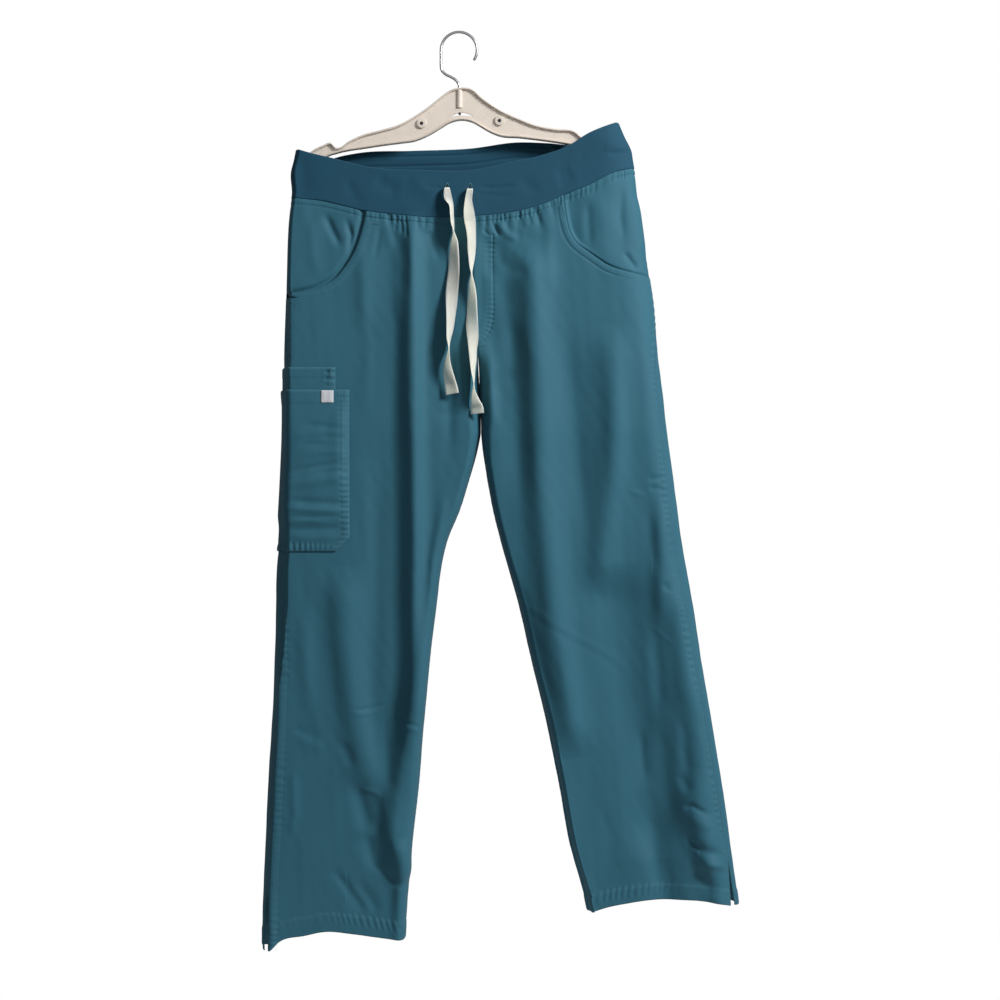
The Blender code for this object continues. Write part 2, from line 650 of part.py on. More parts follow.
def make_band(face):
    """A waistband half, from the right outseam round to the left one."""
    half = np.linspace(0, 1, BAND_COLUMNS + 1)
    rows = []
    for share in np.linspace(0, 1, BAND_ROWS + 1):
        outer, inner = [], []
        for side, u in (("right", half[:-1]), ("left", half[::-1])):
            waist = waist_z(side, face, u) + SEAM_GAP
            s = panel_share(side, face, u, WAIST_Z)
            x, _ = surface(side, face, s, np.full(u.shape, float(BAND_Z)))
            z = waist + (edge_z(BAND_TOP[face], x) - waist) * (1 - share)
            s = panel_share(side, face, u, z)
            outer.append(moved_out(side, face, s, z, BAND_PROUD))
            inner.append(moved_out(side, face, s, z, BAND_PROUD - BAND_WALL))
        outer, inner = np.concatenate(outer), np.concatenate(inner)
        rows.append((np.arange(len(outer)), outer, inner))
    return wall("waistband_front" if face == FRONT else "waistband_back", rows, "band")


def pocket_shares(cut, z):
    """How far the pocket reaches over the front and, round the side, over the back at height z."""
    mitre = cut.mitre * max(0.0, 1 - (z - cut.foot) / max(cut.mitre, 1))
    front = share_of_x("right", FRONT, cut.front_x - mitre, z)
    back = share_of_x("right", BACK, cut.back_x - mitre, z)
    return -back, front


def pocket_lay(cut, over, s, z):
    """How far the pocket's inner face stands out from the panel."""
    across = np.clip(s / pocket_shares(cut, z)[1], 0, 1)
    down = (cut.top - z) / (cut.top - cut.foot)
    belly = cut.belly * np.sin(np.pi * across) ** 0.8 * math.sin(math.pi * min(1, 0.12 + 0.88 * down))
    lay = cut.lay + belly
    if over:
        inner_low, inner_high = pocket_shares(over, max(z, over.foot))
        spread = 0.06
        covered = ease((s - inner_low + spread) / spread) * ease((inner_high + spread - s) / spread)
        lay = lay + POCKET_OVER * covered * float(ease((z - over.foot + 45) / 20))
    return lay


def make_pocket(name, cut, over=None):
    n = POCKET_COLUMNS
    columns = np.linspace(0, 1, 5 * n + 1)
    rows = []
    for share in POCKET_ROWS:
        z = cut.top + (cut.foot - cut.top) * share
        low, high = pocket_shares(cut, z)
        s = np.interp(columns, (0, 0.2, 0.8, 1), (low, -OUT_SHARE, OUT_SHARE, high))
        level = np.full(s.shape, z)
        lay = pocket_lay(cut, over, s, z)
        rows.append((columns, moved_out("right", FRONT, s, level, lay + CLOTH), moved_out("right", FRONT, s, level, lay)))
    return wall(name, rows, "cloth")


def make_tag():
    x_mid, z_mid = TAG_CENTRE
    rows = []
    for z in np.linspace(z_mid + TAG_SIZE / 2, z_mid - TAG_SIZE / 2, 3):
        low = share_of_x("right", FRONT, x_mid - TAG_SIZE / 2, z)
        high = share_of_x("right", FRONT, x_mid + TAG_SIZE / 2, z)
        s = np.linspace(low, high, 4)
        level = np.full(s.shape, z)
        lay = pocket_lay(OUTER_POCKET, INNER_POCKET, s, z) + CLOTH + SEAM_GAP
        rows.append((s, moved_out("right", FRONT, s, level, lay + TAG_WALL), moved_out("right", FRONT, s, level, lay)))
    return wall("pocket_tag", rows, "tag")


def make_tape(name, route):
    """A flat tape along the route, turned about its own length as it hangs."""
    points = np.array([(row.x, row.y, row.z) for row in route], float)
    run = np.concatenate([[0], np.cumsum(np.linalg.norm(np.diff(points, axis=0), axis=1))])
    at = np.linspace(0, run[-1], TAPE_RINGS)
    path = np.stack([smooth(at, run, points[:, axis]) for axis in range(3)], axis=-1)
    width = smooth(at, run, column(route, "width"))
    turn = np.radians(smooth(at, run, column(route, "turn_deg")))
    along = np.gradient(path, axis=0)
    along /= np.linalg.norm(along, axis=1)[:, None]
    rows = []
    shares = np.array([-0.5, 0, 0.5])
    for centre, direction, w, angle in zip(path, along, width, turn):
        flat = np.cross(direction, (1.0, 0, 0))
        flat /= np.linalg.norm(flat)
        level = np.cross(flat, direction)
        across = level * math.cos(angle) + flat * math.sin(angle)
        half = np.cross(direction, across) * TAPE_WALL / 2
        middle = centre + np.outer(shares * w, across)
        rows.append((shares, middle + half, middle - half))
    return wall(name, rows, "tape")


def make_hanger():
    x = smooth(np.linspace(0, len(ARCH) - 1, ARCH_STATIONS), range(len(ARCH)), column(ARCH, "x"))
    rings = []
    for station in x:
        top = float(smooth(station, column(ARCH, "x"), column(ARCH, "top")))
        bottom = float(smooth(station, column(ARCH, "x"), column(ARCH, "bottom")))
        to_tip = min(station - ARCH[0].x, ARCH[-1].x - station)
        half = TIP_HALF + (HANGER_HALF - TIP_HALF) * float(ease(to_tip / TIP_RUN))
        flange = min(FLANGE, 0.36 * (top - bottom))
        web = min(WEB_HALF, half * 0.6)
        profile = (
            (-half, top), (half, top), (half, top - flange), (web, top - flange), (web, bottom + flange),
            (half, bottom + flange), (half, bottom), (-half, bottom), (-half, bottom + flange),
            (-web, bottom + flange), (-web, top - flange), (-half, top - flange),
        )
        rings.append([(station, y, z) for y, z in profile])
    body = loft("hanger_body", rings, "clear")
    top = float(smooth(SHANK_X, column(ARCH, "x"), column(ARCH, "top")))
    sleeve = round_bar("hanger_sleeve", SLEEVE_RADIUS, top - 1, SLEEVE_FOOT)
    bore = round_bar("hanger_bore", BORE_RADIUS, top + 10, BORE_FOOT)
    add_boolean(body, sleeve, "UNION")
    add_boolean(body, bore, "DIFFERENCE")
    return body


def round_bar(name, radius, z_high, z_low):
    """An upright round tool on the hook's shank."""
    bm = bmesh.new()
    bmesh.ops.create_cone(
        bm, cap_ends=True, segments=16, radius1=radius * MM, radius2=radius * MM, depth=(z_high - z_low) * MM
    )
    bmesh.ops.translate(bm, verts=bm.verts, vec=(SHANK_X * MM, 0, (z_high + z_low) / 2 * MM))
    tool = new_object(name, bm, "clear")
    tool.hide_render = True
    tool.display_type = "WIRE"
    return tool


def make_hook():
    top = WIRE_RADIUS - HOOK_RADIUS
    points = [(SHANK_X, SHANK_FOOT)] + [(x, z) for z, x in SHANK[::-1]]
    points += [(-HOOK_RADIUS, -32)]
    for degrees in np.linspace(0, HOOK_SWEEP, 25):
        angle = math.pi - math.radians(degrees)
        points.append((HOOK_RADIUS * math.cos(angle), top + HOOK_RADIUS * math.sin(angle)))
    curve = bpy.data.curves.new("hanger_hook", "CURVE")
    curve.dimensions = "3D"
    curve.bevel_depth = WIRE_RADIUS * MM
    curve.bevel_resolution = 2
    curve.use_fill_caps = True
    spline = curve.splines.new("POLY")
    spline.points.add(len(points) - 1)
    for point, (x, z) in zip(spline.points, points):
        point.co = (x * MM, 0, z * MM, 1)
    curve.materials.append(material("wire"))
    hook = bpy.data.objects.new("hanger_hook", curve)
    bpy.context.scene.collection.objects.link(hook)
    return hook


def main():
    for obj in list(bpy.data.objects):
        bpy.data.objects.remove(obj, do_unlink=True)
    for side in ("right", "left"):
        front = make_panel(side, FRONT)
        cut_mouth(front, side)
        make_panel(side, BACK)
        make_facing(side)
    make_band(FRONT)
    make_band(BACK)
    make_pocket("cargo_pocket_inner", INNER_POCKET)
    make_pocket("cargo_pocket_outer", OUTER_POCKET, over=INNER_POCKET)
    make_tag()
    for name, route in TAPES.items():
        make_tape(name, route)
    make_hanger()
    make_hook()


main()
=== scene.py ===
"""Scrub trousers hanging from a clear plastic hanger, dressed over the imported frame.

Shapes and tables are in millimetres and the meshes are in metres, with +Z up and the front facing -Y. Right
and left are the wearer's, so the right leg lies on the -X side. Points called spots are picture points of
the photograph, which is 1000 across, taken on the plane of the cloth's front.
"""

import math
from collections import namedtuple
from functools import lru_cache

import bmesh
import bpy
import numpy as np
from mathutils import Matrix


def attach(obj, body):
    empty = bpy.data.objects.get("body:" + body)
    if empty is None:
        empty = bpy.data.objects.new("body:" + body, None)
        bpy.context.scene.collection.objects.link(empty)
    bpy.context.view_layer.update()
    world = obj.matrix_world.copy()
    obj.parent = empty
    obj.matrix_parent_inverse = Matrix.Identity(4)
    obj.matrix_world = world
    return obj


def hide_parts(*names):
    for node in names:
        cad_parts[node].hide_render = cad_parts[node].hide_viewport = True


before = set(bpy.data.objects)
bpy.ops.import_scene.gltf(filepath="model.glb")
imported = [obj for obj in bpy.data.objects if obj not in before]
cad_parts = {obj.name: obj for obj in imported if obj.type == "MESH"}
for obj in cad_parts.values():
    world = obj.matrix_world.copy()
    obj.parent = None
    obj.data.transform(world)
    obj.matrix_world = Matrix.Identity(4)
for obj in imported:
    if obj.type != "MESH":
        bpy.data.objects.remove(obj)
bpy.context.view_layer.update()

MM = 0.001
FRONT, BACK = -1, 1
SIDES = ("right", "left")
BODY = "root"

# Camera and picture
EYE = (53.3, -2400.0, -606.6)
LENS = 66.46
SENSOR = 36.0
SPOT_MM = 1.3  # a picture point on the plane y = 0
CLOTH_Y = -27.0

# ---------------------------------------------------------------- the form of the trousers, as in the CAD

CLOTH = 1.2
BAND_WALL = 3.0
BAND_PROUD = 0.8
SEAM_GAP = 0.3
HALF_GAP = -0.06  # the dressed panels just meet at their seams

Level = namedtuple("Level", "z right_out right_in left_in left_out front_depth back_depth")
LEVELS = (
    Level(-1195, -256, -71, 177, 371, 24, 24),
    Level(-1127, -255, -68, 164, 363, 23, 24),
    Level(-1049, -252, -61, 143, 352, 22, 24),
    Level(-971, -248, -52, 129, 341, 22, 24),
    Level(-893, -243, -46, 113, 328, 22, 24),
    Level(-815, -240, -39, 94, 315, 23, 25),
    Level(-737, -238, -29, 76, 303, 24, 26),
    Level(-698, -237, -24, 65, 296, 25, 27),
    Level(-659, -234, -15, 54, 289, 26, 29),
    Level(-620, -233, 1, 44, 284, 27, 31),
    Level(-581, -231, 13, 37, 279, 28, 32),
    Level(-542, -229.5, 24, 31, 273.5, 29, 34),
    Level(-520, -229, 28.5, 28.5, 270.5, 30, 35),
    Level(-470, -228, 27, 27, 265, 30, 37),
    Level(-425, -227.5, 25, 25, 259, 30, 38),
    Level(-347, -225, 21, 21, 252, 29, 37),
    Level(-308, -223.5, 18, 18, 246, 28, 35),
    Level(-269, -222.5, 13, 13, 240, 26, 32),
    Level(-230, -219.5, 10, 10, 234.5, 24, 28),
    Level(-212, -216.5, 9, 9, 232, 22.5, 26),
    Level(-180, -217.5, 8, 8, 228, 20, 23),
    Level(-166, -214, 7, 7, 225.5, 19, 21),
    Level(-152, -211, 6.5, 6.5, 223, 18.5, 20.5),
    Level(-136, -208, 6, 6, 215, 18, 20),
    Level(-112, -206, 5, 5, 205, 18, 20),
)
CROTCH_Z = -470
VALLEY_TOP_Z = {FRONT: -395, BACK: -380}
Corner = namedtuple("Corner", "z right_side left_side inner")
CORNERS = (
    Corner(-1150, 12, 34, 9), Corner(-1000, 12, 36, 9), Corner(-850, 10, 38, 9), Corner(-740, 18, 44, 9),
    Corner(-560, 16, 44, 10), Corner(-480, 13.5, 44, 20), Corner(-414, 10.5, 44, 20),
    Corner(-350, 8.5, 44, 20),
)
CHAMFER = {"right": 0.8, "left": 0.0}
CHAMFER_TOP_Z, CHAMFER_FULL_Z = -300, -420  # above the pocket the right side's fold is round
OUT_SHARE = 0.2
IN_SHARE = 0.2
FINE_STEP = 0.001
FOLD_STEP = 0.02
HALVINGS = 26  # steps of a bisection

SeamTurn = namedtuple("SeamTurn", "z right_deg left_deg")
SEAM_TURNS = (
    SeamTurn(-1150, 72, 34), SeamTurn(-1066, 72, 37), SeamTurn(-1000, 72, 43), SeamTurn(-850, 70, 43),
    SeamTurn(-740, 51, 43), SeamTurn(-640, 51, 42), SeamTurn(-515, 51, 35), SeamTurn(-440, 45, 30),
    SeamTurn(-400, 28, 14), SeamTurn(-378, 0, 0),
)

Edge = namedtuple("Edge", "x z")
BAND_TOP = {
    FRONT: (
        Edge(-211, -152.5), Edge(-190, -158.5), Edge(-166, -164), Edge(-105, -178), Edge(-47, -181),
        Edge(14, -181), Edge(68, -170), Edge(100, -163), Edge(142, -149), Edge(171, -135), Edge(219, -117),
    ),
    BACK: (
        Edge(-211, -152.5), Edge(-168, -160), Edge(-154, -156), Edge(-130, -151.5), Edge(-64, -149),
        Edge(14, -146), Edge(78, -138), Edge(120, -139), Edge(150, -141), Edge(180, -135), Edge(219, -117),
    ),
}
WAIST_SEAM = {
    FRONT: (
        Edge(-218, -217), Edge(-200, -219), Edge(-173, -222), Edge(-148, -228), Edge(-123, -234),
        Edge(-85, -239), Edge(-41, -243), Edge(-5, -243), Edge(25, -241), Edge(60, -237.5), Edge(89, -231.5),
        Edge(107, -226), Edge(138, -213), Edge(175, -198.5), Edge(200, -186), Edge(230, -177),
    ),
    BACK: (
        Edge(-218, -217), Edge(-168, -218), Edge(-100, -215), Edge(14, -209), Edge(75, -202),
        Edge(142, -191), Edge(230, -177),
    ),
}
HEM = {
    "right": (
        Edge(-256, -1184), Edge(-247, -1188), Edge(-230, -1175), Edge(-198, -1168), Edge(-173, -1163),
        Edge(-134, -1166), Edge(-105, -1170), Edge(-72, -1174),
    ),
    "left": (
        Edge(170, -1140), Edge(197, -1132), Edge(222, -1127), Edge(247, -1123), Edge(281, -1122),
        Edge(313, -1122), Edge(338, -1125), Edge(362, -1131),
    ),
}
BAND_Z = -150
WAIST_Z = -218
HEM_Z = -1150
VENT_TOP = {"right": -1108, "left": -1066}
VENT_SHIFT = {"right": 1.5, "left": 9}
VENT_FLARE = 3
VENT_BACK_SHIFT = {"right": 5.0, "left": 0.0}
VENT_BACK_RUN = 17

Fold = namedtuple("Fold", "face height half_width line")
FOLDS = (
    Fold(FRONT, 12, 13, ((-60, -235), (-60, -420), (-57, -640), (-57, -760), (-58, -863), (-72, -940),
                         (-82, -1040), (-76, -1100))),
    Fold(FRONT, 5, 13, ((1, -400), (3, -440), (4, -500))),
    Fold(FRONT, 3, 12, ((-123, -270), (-122, -340), (-120, -400))),
    Fold(FRONT, 7, 20, ((-150, -690), (-146, -786), (-138, -863), (-124, -928), (-100, -1000))),
    Fold(FRONT, 12, 21, ((93, -270), (101, -450), (104, -560), (111, -640), (125, -780), (141, -863),
                         (152, -940))),
    Fold(FRONT, 5, 12, ((38, -400), (40, -470), (44, -520))),
    Fold(FRONT, 7, 19, ((196, -380), (200, -520), (190, -640), (179, -730))),
    Fold(FRONT, 6, 13, ((262, -600), (261, -700), (262, -780))),
    Fold(FRONT, -9, 34, ((198, -690), (212, -780), (224, -870), (246, -990), (258, -1070))),
    Fold(FRONT, 5, 20, ((284, -700), (290, -800), (300, -900))),
    Fold(FRONT, 7, 17, ((306, -950), (306, -1010), (317, -1050), (334, -1110))),
    Fold(BACK, 7, 22, ((-110, -330), (-104, -560), (-120, -800), (-128, -980))),
    Fold(BACK, 5, 18, ((-170, -700), (-165, -860), (-180, -1060))),
    Fold(BACK, 8, 24, ((130, -320), (140, -560), (176, -780), (214, -1000))),
    Fold(BACK, 5, 18, ((210, -420), (228, -620), (262, -860))),
    Fold(BACK, 5, 18, ((-40, -300), (-36, -420), (-44, -560))),
    Fold(BACK, 5, 18, ((70, -300), (72, -420), (84, -560))),
)
FOLD_FADE = 60

MOUTHS = {
    "right": (
        Edge(-117, -212), Edge(-120, -240), Edge(-126, -265), Edge(-134.5, -288), Edge(-147, -308),
        Edge(-158, -321), Edge(-174, -332), Edge(-194, -340), Edge(-232, -347),
    ),
    "left": (
        Edge(134, -195), Edge(136.5, -232), Edge(139.5, -249), Edge(144, -264), Edge(154, -278),
        Edge(169, -289), Edge(181, -297.5), Edge(192, -304.5), Edge(206, -310), Edge(225, -314.5),
        Edge(258, -320),
    ),
}
MOUTH_POINTS = 90
FACING_OVERLAP = 12
FACING_SUNK = 0.5
FACING_UNDER = 2.1

FACING_PROBES = 400
FACING_LEAST = 0.03

PocketCut = namedtuple("PocketCut", "top foot front_x back_x mitre lay belly")
INNER_POCKET = PocketCut(-436, -600, -158, -176, 0, 0.6, 1.0)
OUTER_POCKET = PocketCut(-465, -673, -140, -168, 18, 0.65, 4.0)
POCKET_OVER = 1.8
TAG_SIZE = 16
TAG_CENTRE = (-168, -474)
TAG_WALL = 1.0
TAG_POINTS = 17

TAPE_WALL = 1.2
TapePoint = namedtuple("TapePoint", "x y z width turn_deg")
TAPES = {
    "drawstring_right": (
        TapePoint(-14.8, -23.3, -204.5, 6, 0), TapePoint(-14.8, -29, -206.5, 7.5, -5),
        TapePoint(-13.4, -31.5, -219, 11.5, -28), TapePoint(-9.6, -33, -228.5, 14, -66),
        TapePoint(-8.6, -34, -241.5, 15.5, -74), TapePoint(-7.6, -35.5, -254, 16, -78),
        TapePoint(-6.2, -36.5, -263, 16, -92), TapePoint(-5.6, -35.2, -273.5, 16, -122),
        TapePoint(-5.9, -34, -286, 16, -140), TapePoint(-6, -33, -312, 16, -158),
        TapePoint(-8.2, -33, -337.5, 16, -183), TapePoint(-9.5, -35.8, -363, 16, -217),
        TapePoint(-11, -38.2, -389, 16, -240), TapePoint(-12.3, -39.5, -401.5, 16, -255),
        TapePoint(-12, -40.3, -412, 16, -271), TapePoint(-12.9, -41, -421, 16, -286),
        TapePoint(-13.5, -41, -430, 16.2, -300), TapePoint(-13, -39.5, -443, 16.6, -322),
        TapePoint(-9, -37.2, -463, 17, -343), TapePoint(-7.6, -36.8, -470.8, 17, -350),
    ),
    "drawstring_left": (
        TapePoint(14.7, -23.4, -206, 6, 0), TapePoint(14.7, -29, -208, 7.5, -5),
        TapePoint(12.8, -30, -219.5, 10, -28), TapePoint(13.2, -30.5, -235, 15.5, -31),
        TapePoint(14.6, -31, -248, 16, -24), TapePoint(16.2, -33.8, -261, 16, -38),
        TapePoint(17.2, -34.8, -273.5, 16, -46), TapePoint(17.2, -35.2, -286, 16, -50),
        TapePoint(17.2, -36.4, -299, 16, -64), TapePoint(16.8, -37.2, -309, 16, -77),
        TapePoint(16.9, -37.6, -317, 16, -92), TapePoint(17.2, -37.2, -325, 16, -110),
        TapePoint(17.8, -36.4, -337.5, 16, -127), TapePoint(17.8, -35.4, -350, 16, -139),
        TapePoint(17.4, -34.6, -366, 16, -149), TapePoint(17.4, -34, -382, 16, -173),
        TapePoint(18.9, -35.8, -401.5, 16, -210), TapePoint(18.8, -37.6, -414.5, 16, -229),
        TapePoint(19.3, -38.5, -427, 16, -237), TapePoint(19.2, -39.4, -440, 16, -250),
        TapePoint(19.9, -40, -455, 16, -267), TapePoint(19.7, -39.6, -465.5, 16.2, -282),
        TapePoint(21.2, -37.6, -478.5, 16.6, -313), TapePoint(23.6, -35.4, -488.5, 17, -340),
        TapePoint(24.5, -35, -496, 17, -348),
    ),
}

Arch = namedtuple("Arch", "x top bottom")
ARCH = (
    Arch(-213.3, -178, -183), Arch(-207, -169, -182), Arch(-190, -153, -173), Arch(-176, -146, -163),
    Arch(-166, -143, -158), Arch(-160, -149, -156.5), Arch(-155, -149, -155), Arch(-143, -141, -152.5),
    Arch(-126, -133, -150), Arch(-100, -126, -146), Arch(-77, -119, -143), Arch(-57, -108, -140),
    Arch(-38, -95, -132), Arch(-23, -83, -123), Arch(-12, -75, -116.5), Arch(4, -71, -113),
    Arch(18, -74, -116), Arch(28, -83, -121.5), Arch(38, -90.5, -127.5), Arch(52, -99.5, -133.5),
    Arch(79, -112, -136), Arch(100, -120, -138.5), Arch(126, -125, -142), Arch(150, -128, -146),
    Arch(162, -137, -148), Arch(168, -137, -149), Arch(174, -131, -151), Arch(185, -135, -153),
    Arch(200, -142, -157), Arch(212, -151, -161), Arch(219, -156, -162),
)
FLANGE = 2.6
HANGER_HALF = 5.0
WEB_HALF = 1.5
TIP_HALF = 2.5
TIP_RUN = 25
SLEEVE_RADIUS = 4.3
SLEEVE_FOOT = -97
BORE_RADIUS = 2.1
BORE_FOOT = -95

WIRE_RADIUS = 1.75
HOOK_RADIUS = 23.4
HOOK_SWEEP = 215
SHANK_X = 0.5
SHANK = ((-42, -23.4), (-47.5, -22.5), (-52.5, -18.5), (-57, -10), (-61, -4), (-66, -0.4), (-72, 0.5))
SHANK_FOOT = -93.5


def smooth(at, knots, values):
    """Values between the knots on a smooth curve through them; the knots rise."""
    knots = np.asarray(knots, float)
    values = np.asarray(values, float)
    slopes = np.gradient(values, knots)
    at = np.clip(at, knots[0], knots[-1])
    i = np.clip(np.searchsorted(knots, at) - 1, 0, len(knots) - 2)
    step = knots[i + 1] - knots[i]
    q = (at - knots[i]) / step
    return (
        (1 + 2 * q) * (1 - q) ** 2 * values[i]
        + q * (1 - q) ** 2 * step * slopes[i]
        + q * q * (3 - 2 * q) * values[i + 1]
        + q * q * (q - 1) * step * slopes[i + 1]
    )


def column(rows, name):
    return [getattr(row, name) for row in rows]


def edge_z(edges, x):
    return smooth(x, column(edges, "x"), column(edges, "z"))


def ease(q):
    q = np.clip(q, 0, 1)
    return q * q * (3 - 2 * q)


def bump(q):
    return np.exp(-(q**2))


def at_level(name, z):
    return smooth(z, column(LEVELS, "z"), column(LEVELS, name))


def corner_width(name, z):
    return np.interp(z, column(CORNERS, "z"), column(CORNERS, name))


def creased_share(side, z):
    return CHAMFER[side] * ease((CHAMFER_TOP_Z - z) / (CHAMFER_TOP_Z - CHAMFER_FULL_Z))


def seam_turn(side, z):
    return np.radians(np.interp(z, column(SEAM_TURNS, "z"), column(SEAM_TURNS, side + "_deg")))


def distance_to_line(x, z, line):
    """Distance from (x, z) to a line of points, how far along it the nearest point is, and its length."""
    best = np.full(np.shape(x), np.inf)
    along = np.zeros(np.shape(x))
    run = 0.0
    for (ax, az), (bx, bz) in zip(line, line[1:]):
        length = math.hypot(bx - ax, bz - az)
        t = np.clip(((x - ax) * (bx - ax) + (z - az) * (bz - az)) / length**2, 0, 1)
        far = np.hypot(x - ax - t * (bx - ax), z - az - t * (bz - az))
        nearer = far < best
        best = np.where(nearer, far, best)
        along = np.where(nearer, run + t * length, along)
        run += length
    return best, along, run


def fold_height(face, x, z):
    total = np.zeros(np.shape(x))
    for fold in FOLDS:
        if fold.face != face:
            continue
        far, along, length = distance_to_line(x, z, fold.line)
        fade = ease(along / FOLD_FADE + 0.15) * ease((length - along) / FOLD_FADE + 0.15)
        total += fold.height * bump(far / fold.half_width) * fade
    return total


def toward(side):
    return 1 if side == "right" else -1


def surface(side, face, s, z):
    """The outer surface at height z: x and y. s is 0 at the side's fold, 1 at the centre seam or inseam."""
    face = np.where(s < 0, -face, face)
    s = np.abs(s)
    outer = at_level(side + "_out", z)
    way = toward(side)
    centre = (at_level("right_in", z) + at_level("left_in", z)) / 2
    inner = way * np.minimum(way * at_level(side + "_in", z), way * centre) - way * HALF_GAP
    width = np.abs(inner - outer)
    depth = np.where(face == FRONT, at_level("front_depth", z), at_level("back_depth", z))
    valley_top = np.where(face == FRONT, VALLEY_TOP_Z[FRONT], VALLEY_TOP_Z[BACK])
    turned_in = ease((valley_top - z) / (valley_top - CROTCH_Z))
    most_turn = np.maximum(turned_in * (math.pi / 2 - HALF_GAP / depth), 1e-4)
    out_part = np.clip(s / OUT_SHARE, 0, 1)
    out_turn = out_part * math.pi / 2
    creased = creased_share(side, z)
    rounded = 1 - creased
    flat = np.clip((s - OUT_SHARE) / (1 - OUT_SHARE - IN_SHARE), 0, 1)
    in_part = np.clip((s - 1 + IN_SHARE) / IN_SHARE, 0, 1)
    corner = corner_width(side + "_side", z)
    inner_corner = corner_width("inner", z)
    run = (
        corner * (rounded * (1 - np.cos(out_turn)) + creased * out_part)
        + flat * (width - corner - inner_corner)
        + inner_corner * np.sin(most_turn * in_part) / np.sin(most_turn)
    )
    x = outer + way * run
    rise = rounded * np.sin(out_turn) + creased * out_part
    lift = np.where(face == FRONT, fold_height(FRONT, x, z), fold_height(BACK, x, z))
    return x, face * rise * (depth * np.cos(most_turn * in_part) + lift * np.cos(in_part * math.pi / 2))


def outward(side, face, s, z):
    """The level direction that points out of the hollow, at right angles to the surface."""
    step = np.where(np.abs(s) < FOLD_STEP, FOLD_STEP, FINE_STEP)
    x0, y0 = surface(side, face, np.maximum(s - step, -1), z)
    x1, y1 = surface(side, face, np.minimum(s + step, 1), z)
    along_x, along_y = x1 - x0, y1 - y0
    turn = -face * toward(side) / np.hypot(along_x, along_y)
    return along_y * turn, -along_x * turn


def moved_out(side, face, s, z, lift):
    x, y = surface(side, face, s, z)
    nx, ny = outward(side, face, s, z)
    return np.stack([x + nx * lift, y + ny * lift, z + 0 * x], axis=-1)


def seam_share(side, face, z):
    turn = seam_turn(side, z)
    creased = creased_share(side, z)
    rounded, creased = 1 - creased, creased * 2 / math.pi
    speed = np.hypot(
        corner_width(side + "_side", z) * (rounded * np.sin(turn) + creased),
        at_level("front_depth", z) * (rounded * np.cos(turn) + creased),
    )
    return OUT_SHARE / (math.pi / 2) * (-face * turn + HALF_GAP / speed)


def panel_share(side, face, u, z):
    start = seam_share(side, face, z)
    return start + (1 - start) * u


def share_of_x(side, face, x, z):
    """The surface's s at which it passes x, on the open part of a face."""
    low, high = np.zeros(np.shape(x)), np.ones(np.shape(x))
    for _ in range(HALVINGS):
        middle = (low + high) / 2
        short = surface(side, face, middle, z)[0] * toward(side) < x * toward(side)
        low, high = np.where(short, middle, low), np.where(short, high, middle)
    return (low + high) / 2


def waist_z(side, face, u):
    u = np.asarray(u, float)
    x, _ = surface(side, face, panel_share(side, face, u, WAIST_Z), np.full(u.shape, float(WAIST_Z)))
    return edge_z(WAIST_SEAM[face], x)


def hem_z(side, face, u):
    u = np.asarray(u, float)
    x, _ = surface(side, face, panel_share(side, face, u, HEM_Z), np.full(u.shape, float(HEM_Z)))
    return edge_z(HEM[side], x)


def mouth_x(side, z):
    mouth = MOUTHS[side]
    return smooth(-z, [-point.z for point in mouth], column(mouth, "x"))


@lru_cache(maxsize=None)
def mouth_line(side):
    z = np.linspace(MOUTHS[side][0].z, MOUTHS[side][-1].z, MOUTH_POINTS)
    return tuple(zip(mouth_x(side, z).tolist(), z.tolist()))


# ---------------------------------------------------------------- lengths along the cloth

ARC_LOW, ARC_HIGH, ARC_ROWS, ARC_COLUMNS = -1200.0, -110.0, 110, 121


@lru_cache(maxsize=None)
def arc_tables(side, face):
    """The cloth's run from a panel's outer edge, by height and u, and u by height and share of the run."""
    heights = np.linspace(ARC_LOW, ARC_HIGH, ARC_ROWS)
    z, u = np.meshgrid(heights, np.linspace(0, 1, ARC_COLUMNS), indexing="ij")
    x, y = surface(side, face, panel_share(side, face, u, z), z)
    steps = np.hypot(np.diff(x, axis=1), np.diff(y, axis=1))
    run = np.concatenate([np.zeros((ARC_ROWS, 1)), np.cumsum(steps, axis=1)], axis=1)
    back = np.array([np.interp(u[0], row / row[-1], u[0]) for row in run])
    return run, back


def between(table, z, q):
    """The table's value at height z and at the share q across."""
    z, q = np.broadcast_arrays(z, q)
    i = np.clip((z - ARC_LOW) / (ARC_HIGH - ARC_LOW), 0, 1) * (ARC_ROWS - 1)
    j = np.clip(q, 0, 1) * (ARC_COLUMNS - 1)
    i0 = np.minimum(i.astype(int), ARC_ROWS - 2)
    j0 = np.minimum(j.astype(int), ARC_COLUMNS - 2)
    i, j = i - i0, j - j0
    return (
        table[i0, j0] * (1 - i) * (1 - j) + table[i0 + 1, j0] * i * (1 - j)
        + table[i0, j0 + 1] * (1 - i) * j + table[i0 + 1, j0 + 1] * i * j
    )


def run_at(side, face, u, z):
    return between(arc_tables(side, face)[0], z, u)


def width_at(side, face, z):
    return between(arc_tables(side, face)[0], z, 1.0)


def u_at_run(side, face, run, z):
    return between(arc_tables(side, face)[1], z, run / width_at(side, face, z))


# ---------------------------------------------------------------- relief of the cloth

def spot(px, py, plane=CLOTH_Y):
    """The x and z of a picture point on a plane of constant y."""
    scale = SPOT_MM * (plane - EYE[1]) / -EYE[1]
    return EYE[0] + (px - 500) * scale, EYE[2] - (py - 500) * scale


# Creases: crests (height above 0) and troughs (below 0) along spots; skew widens the viewer's right side
Crease = namedtuple("Crease", "height half_width skew spots")


def crease_rows(*rows):
    """Creases from rows of a height, a half width and a skew, and then the spots of the line."""
    return tuple(Crease(*row[:3], row[3:]) for row in rows)


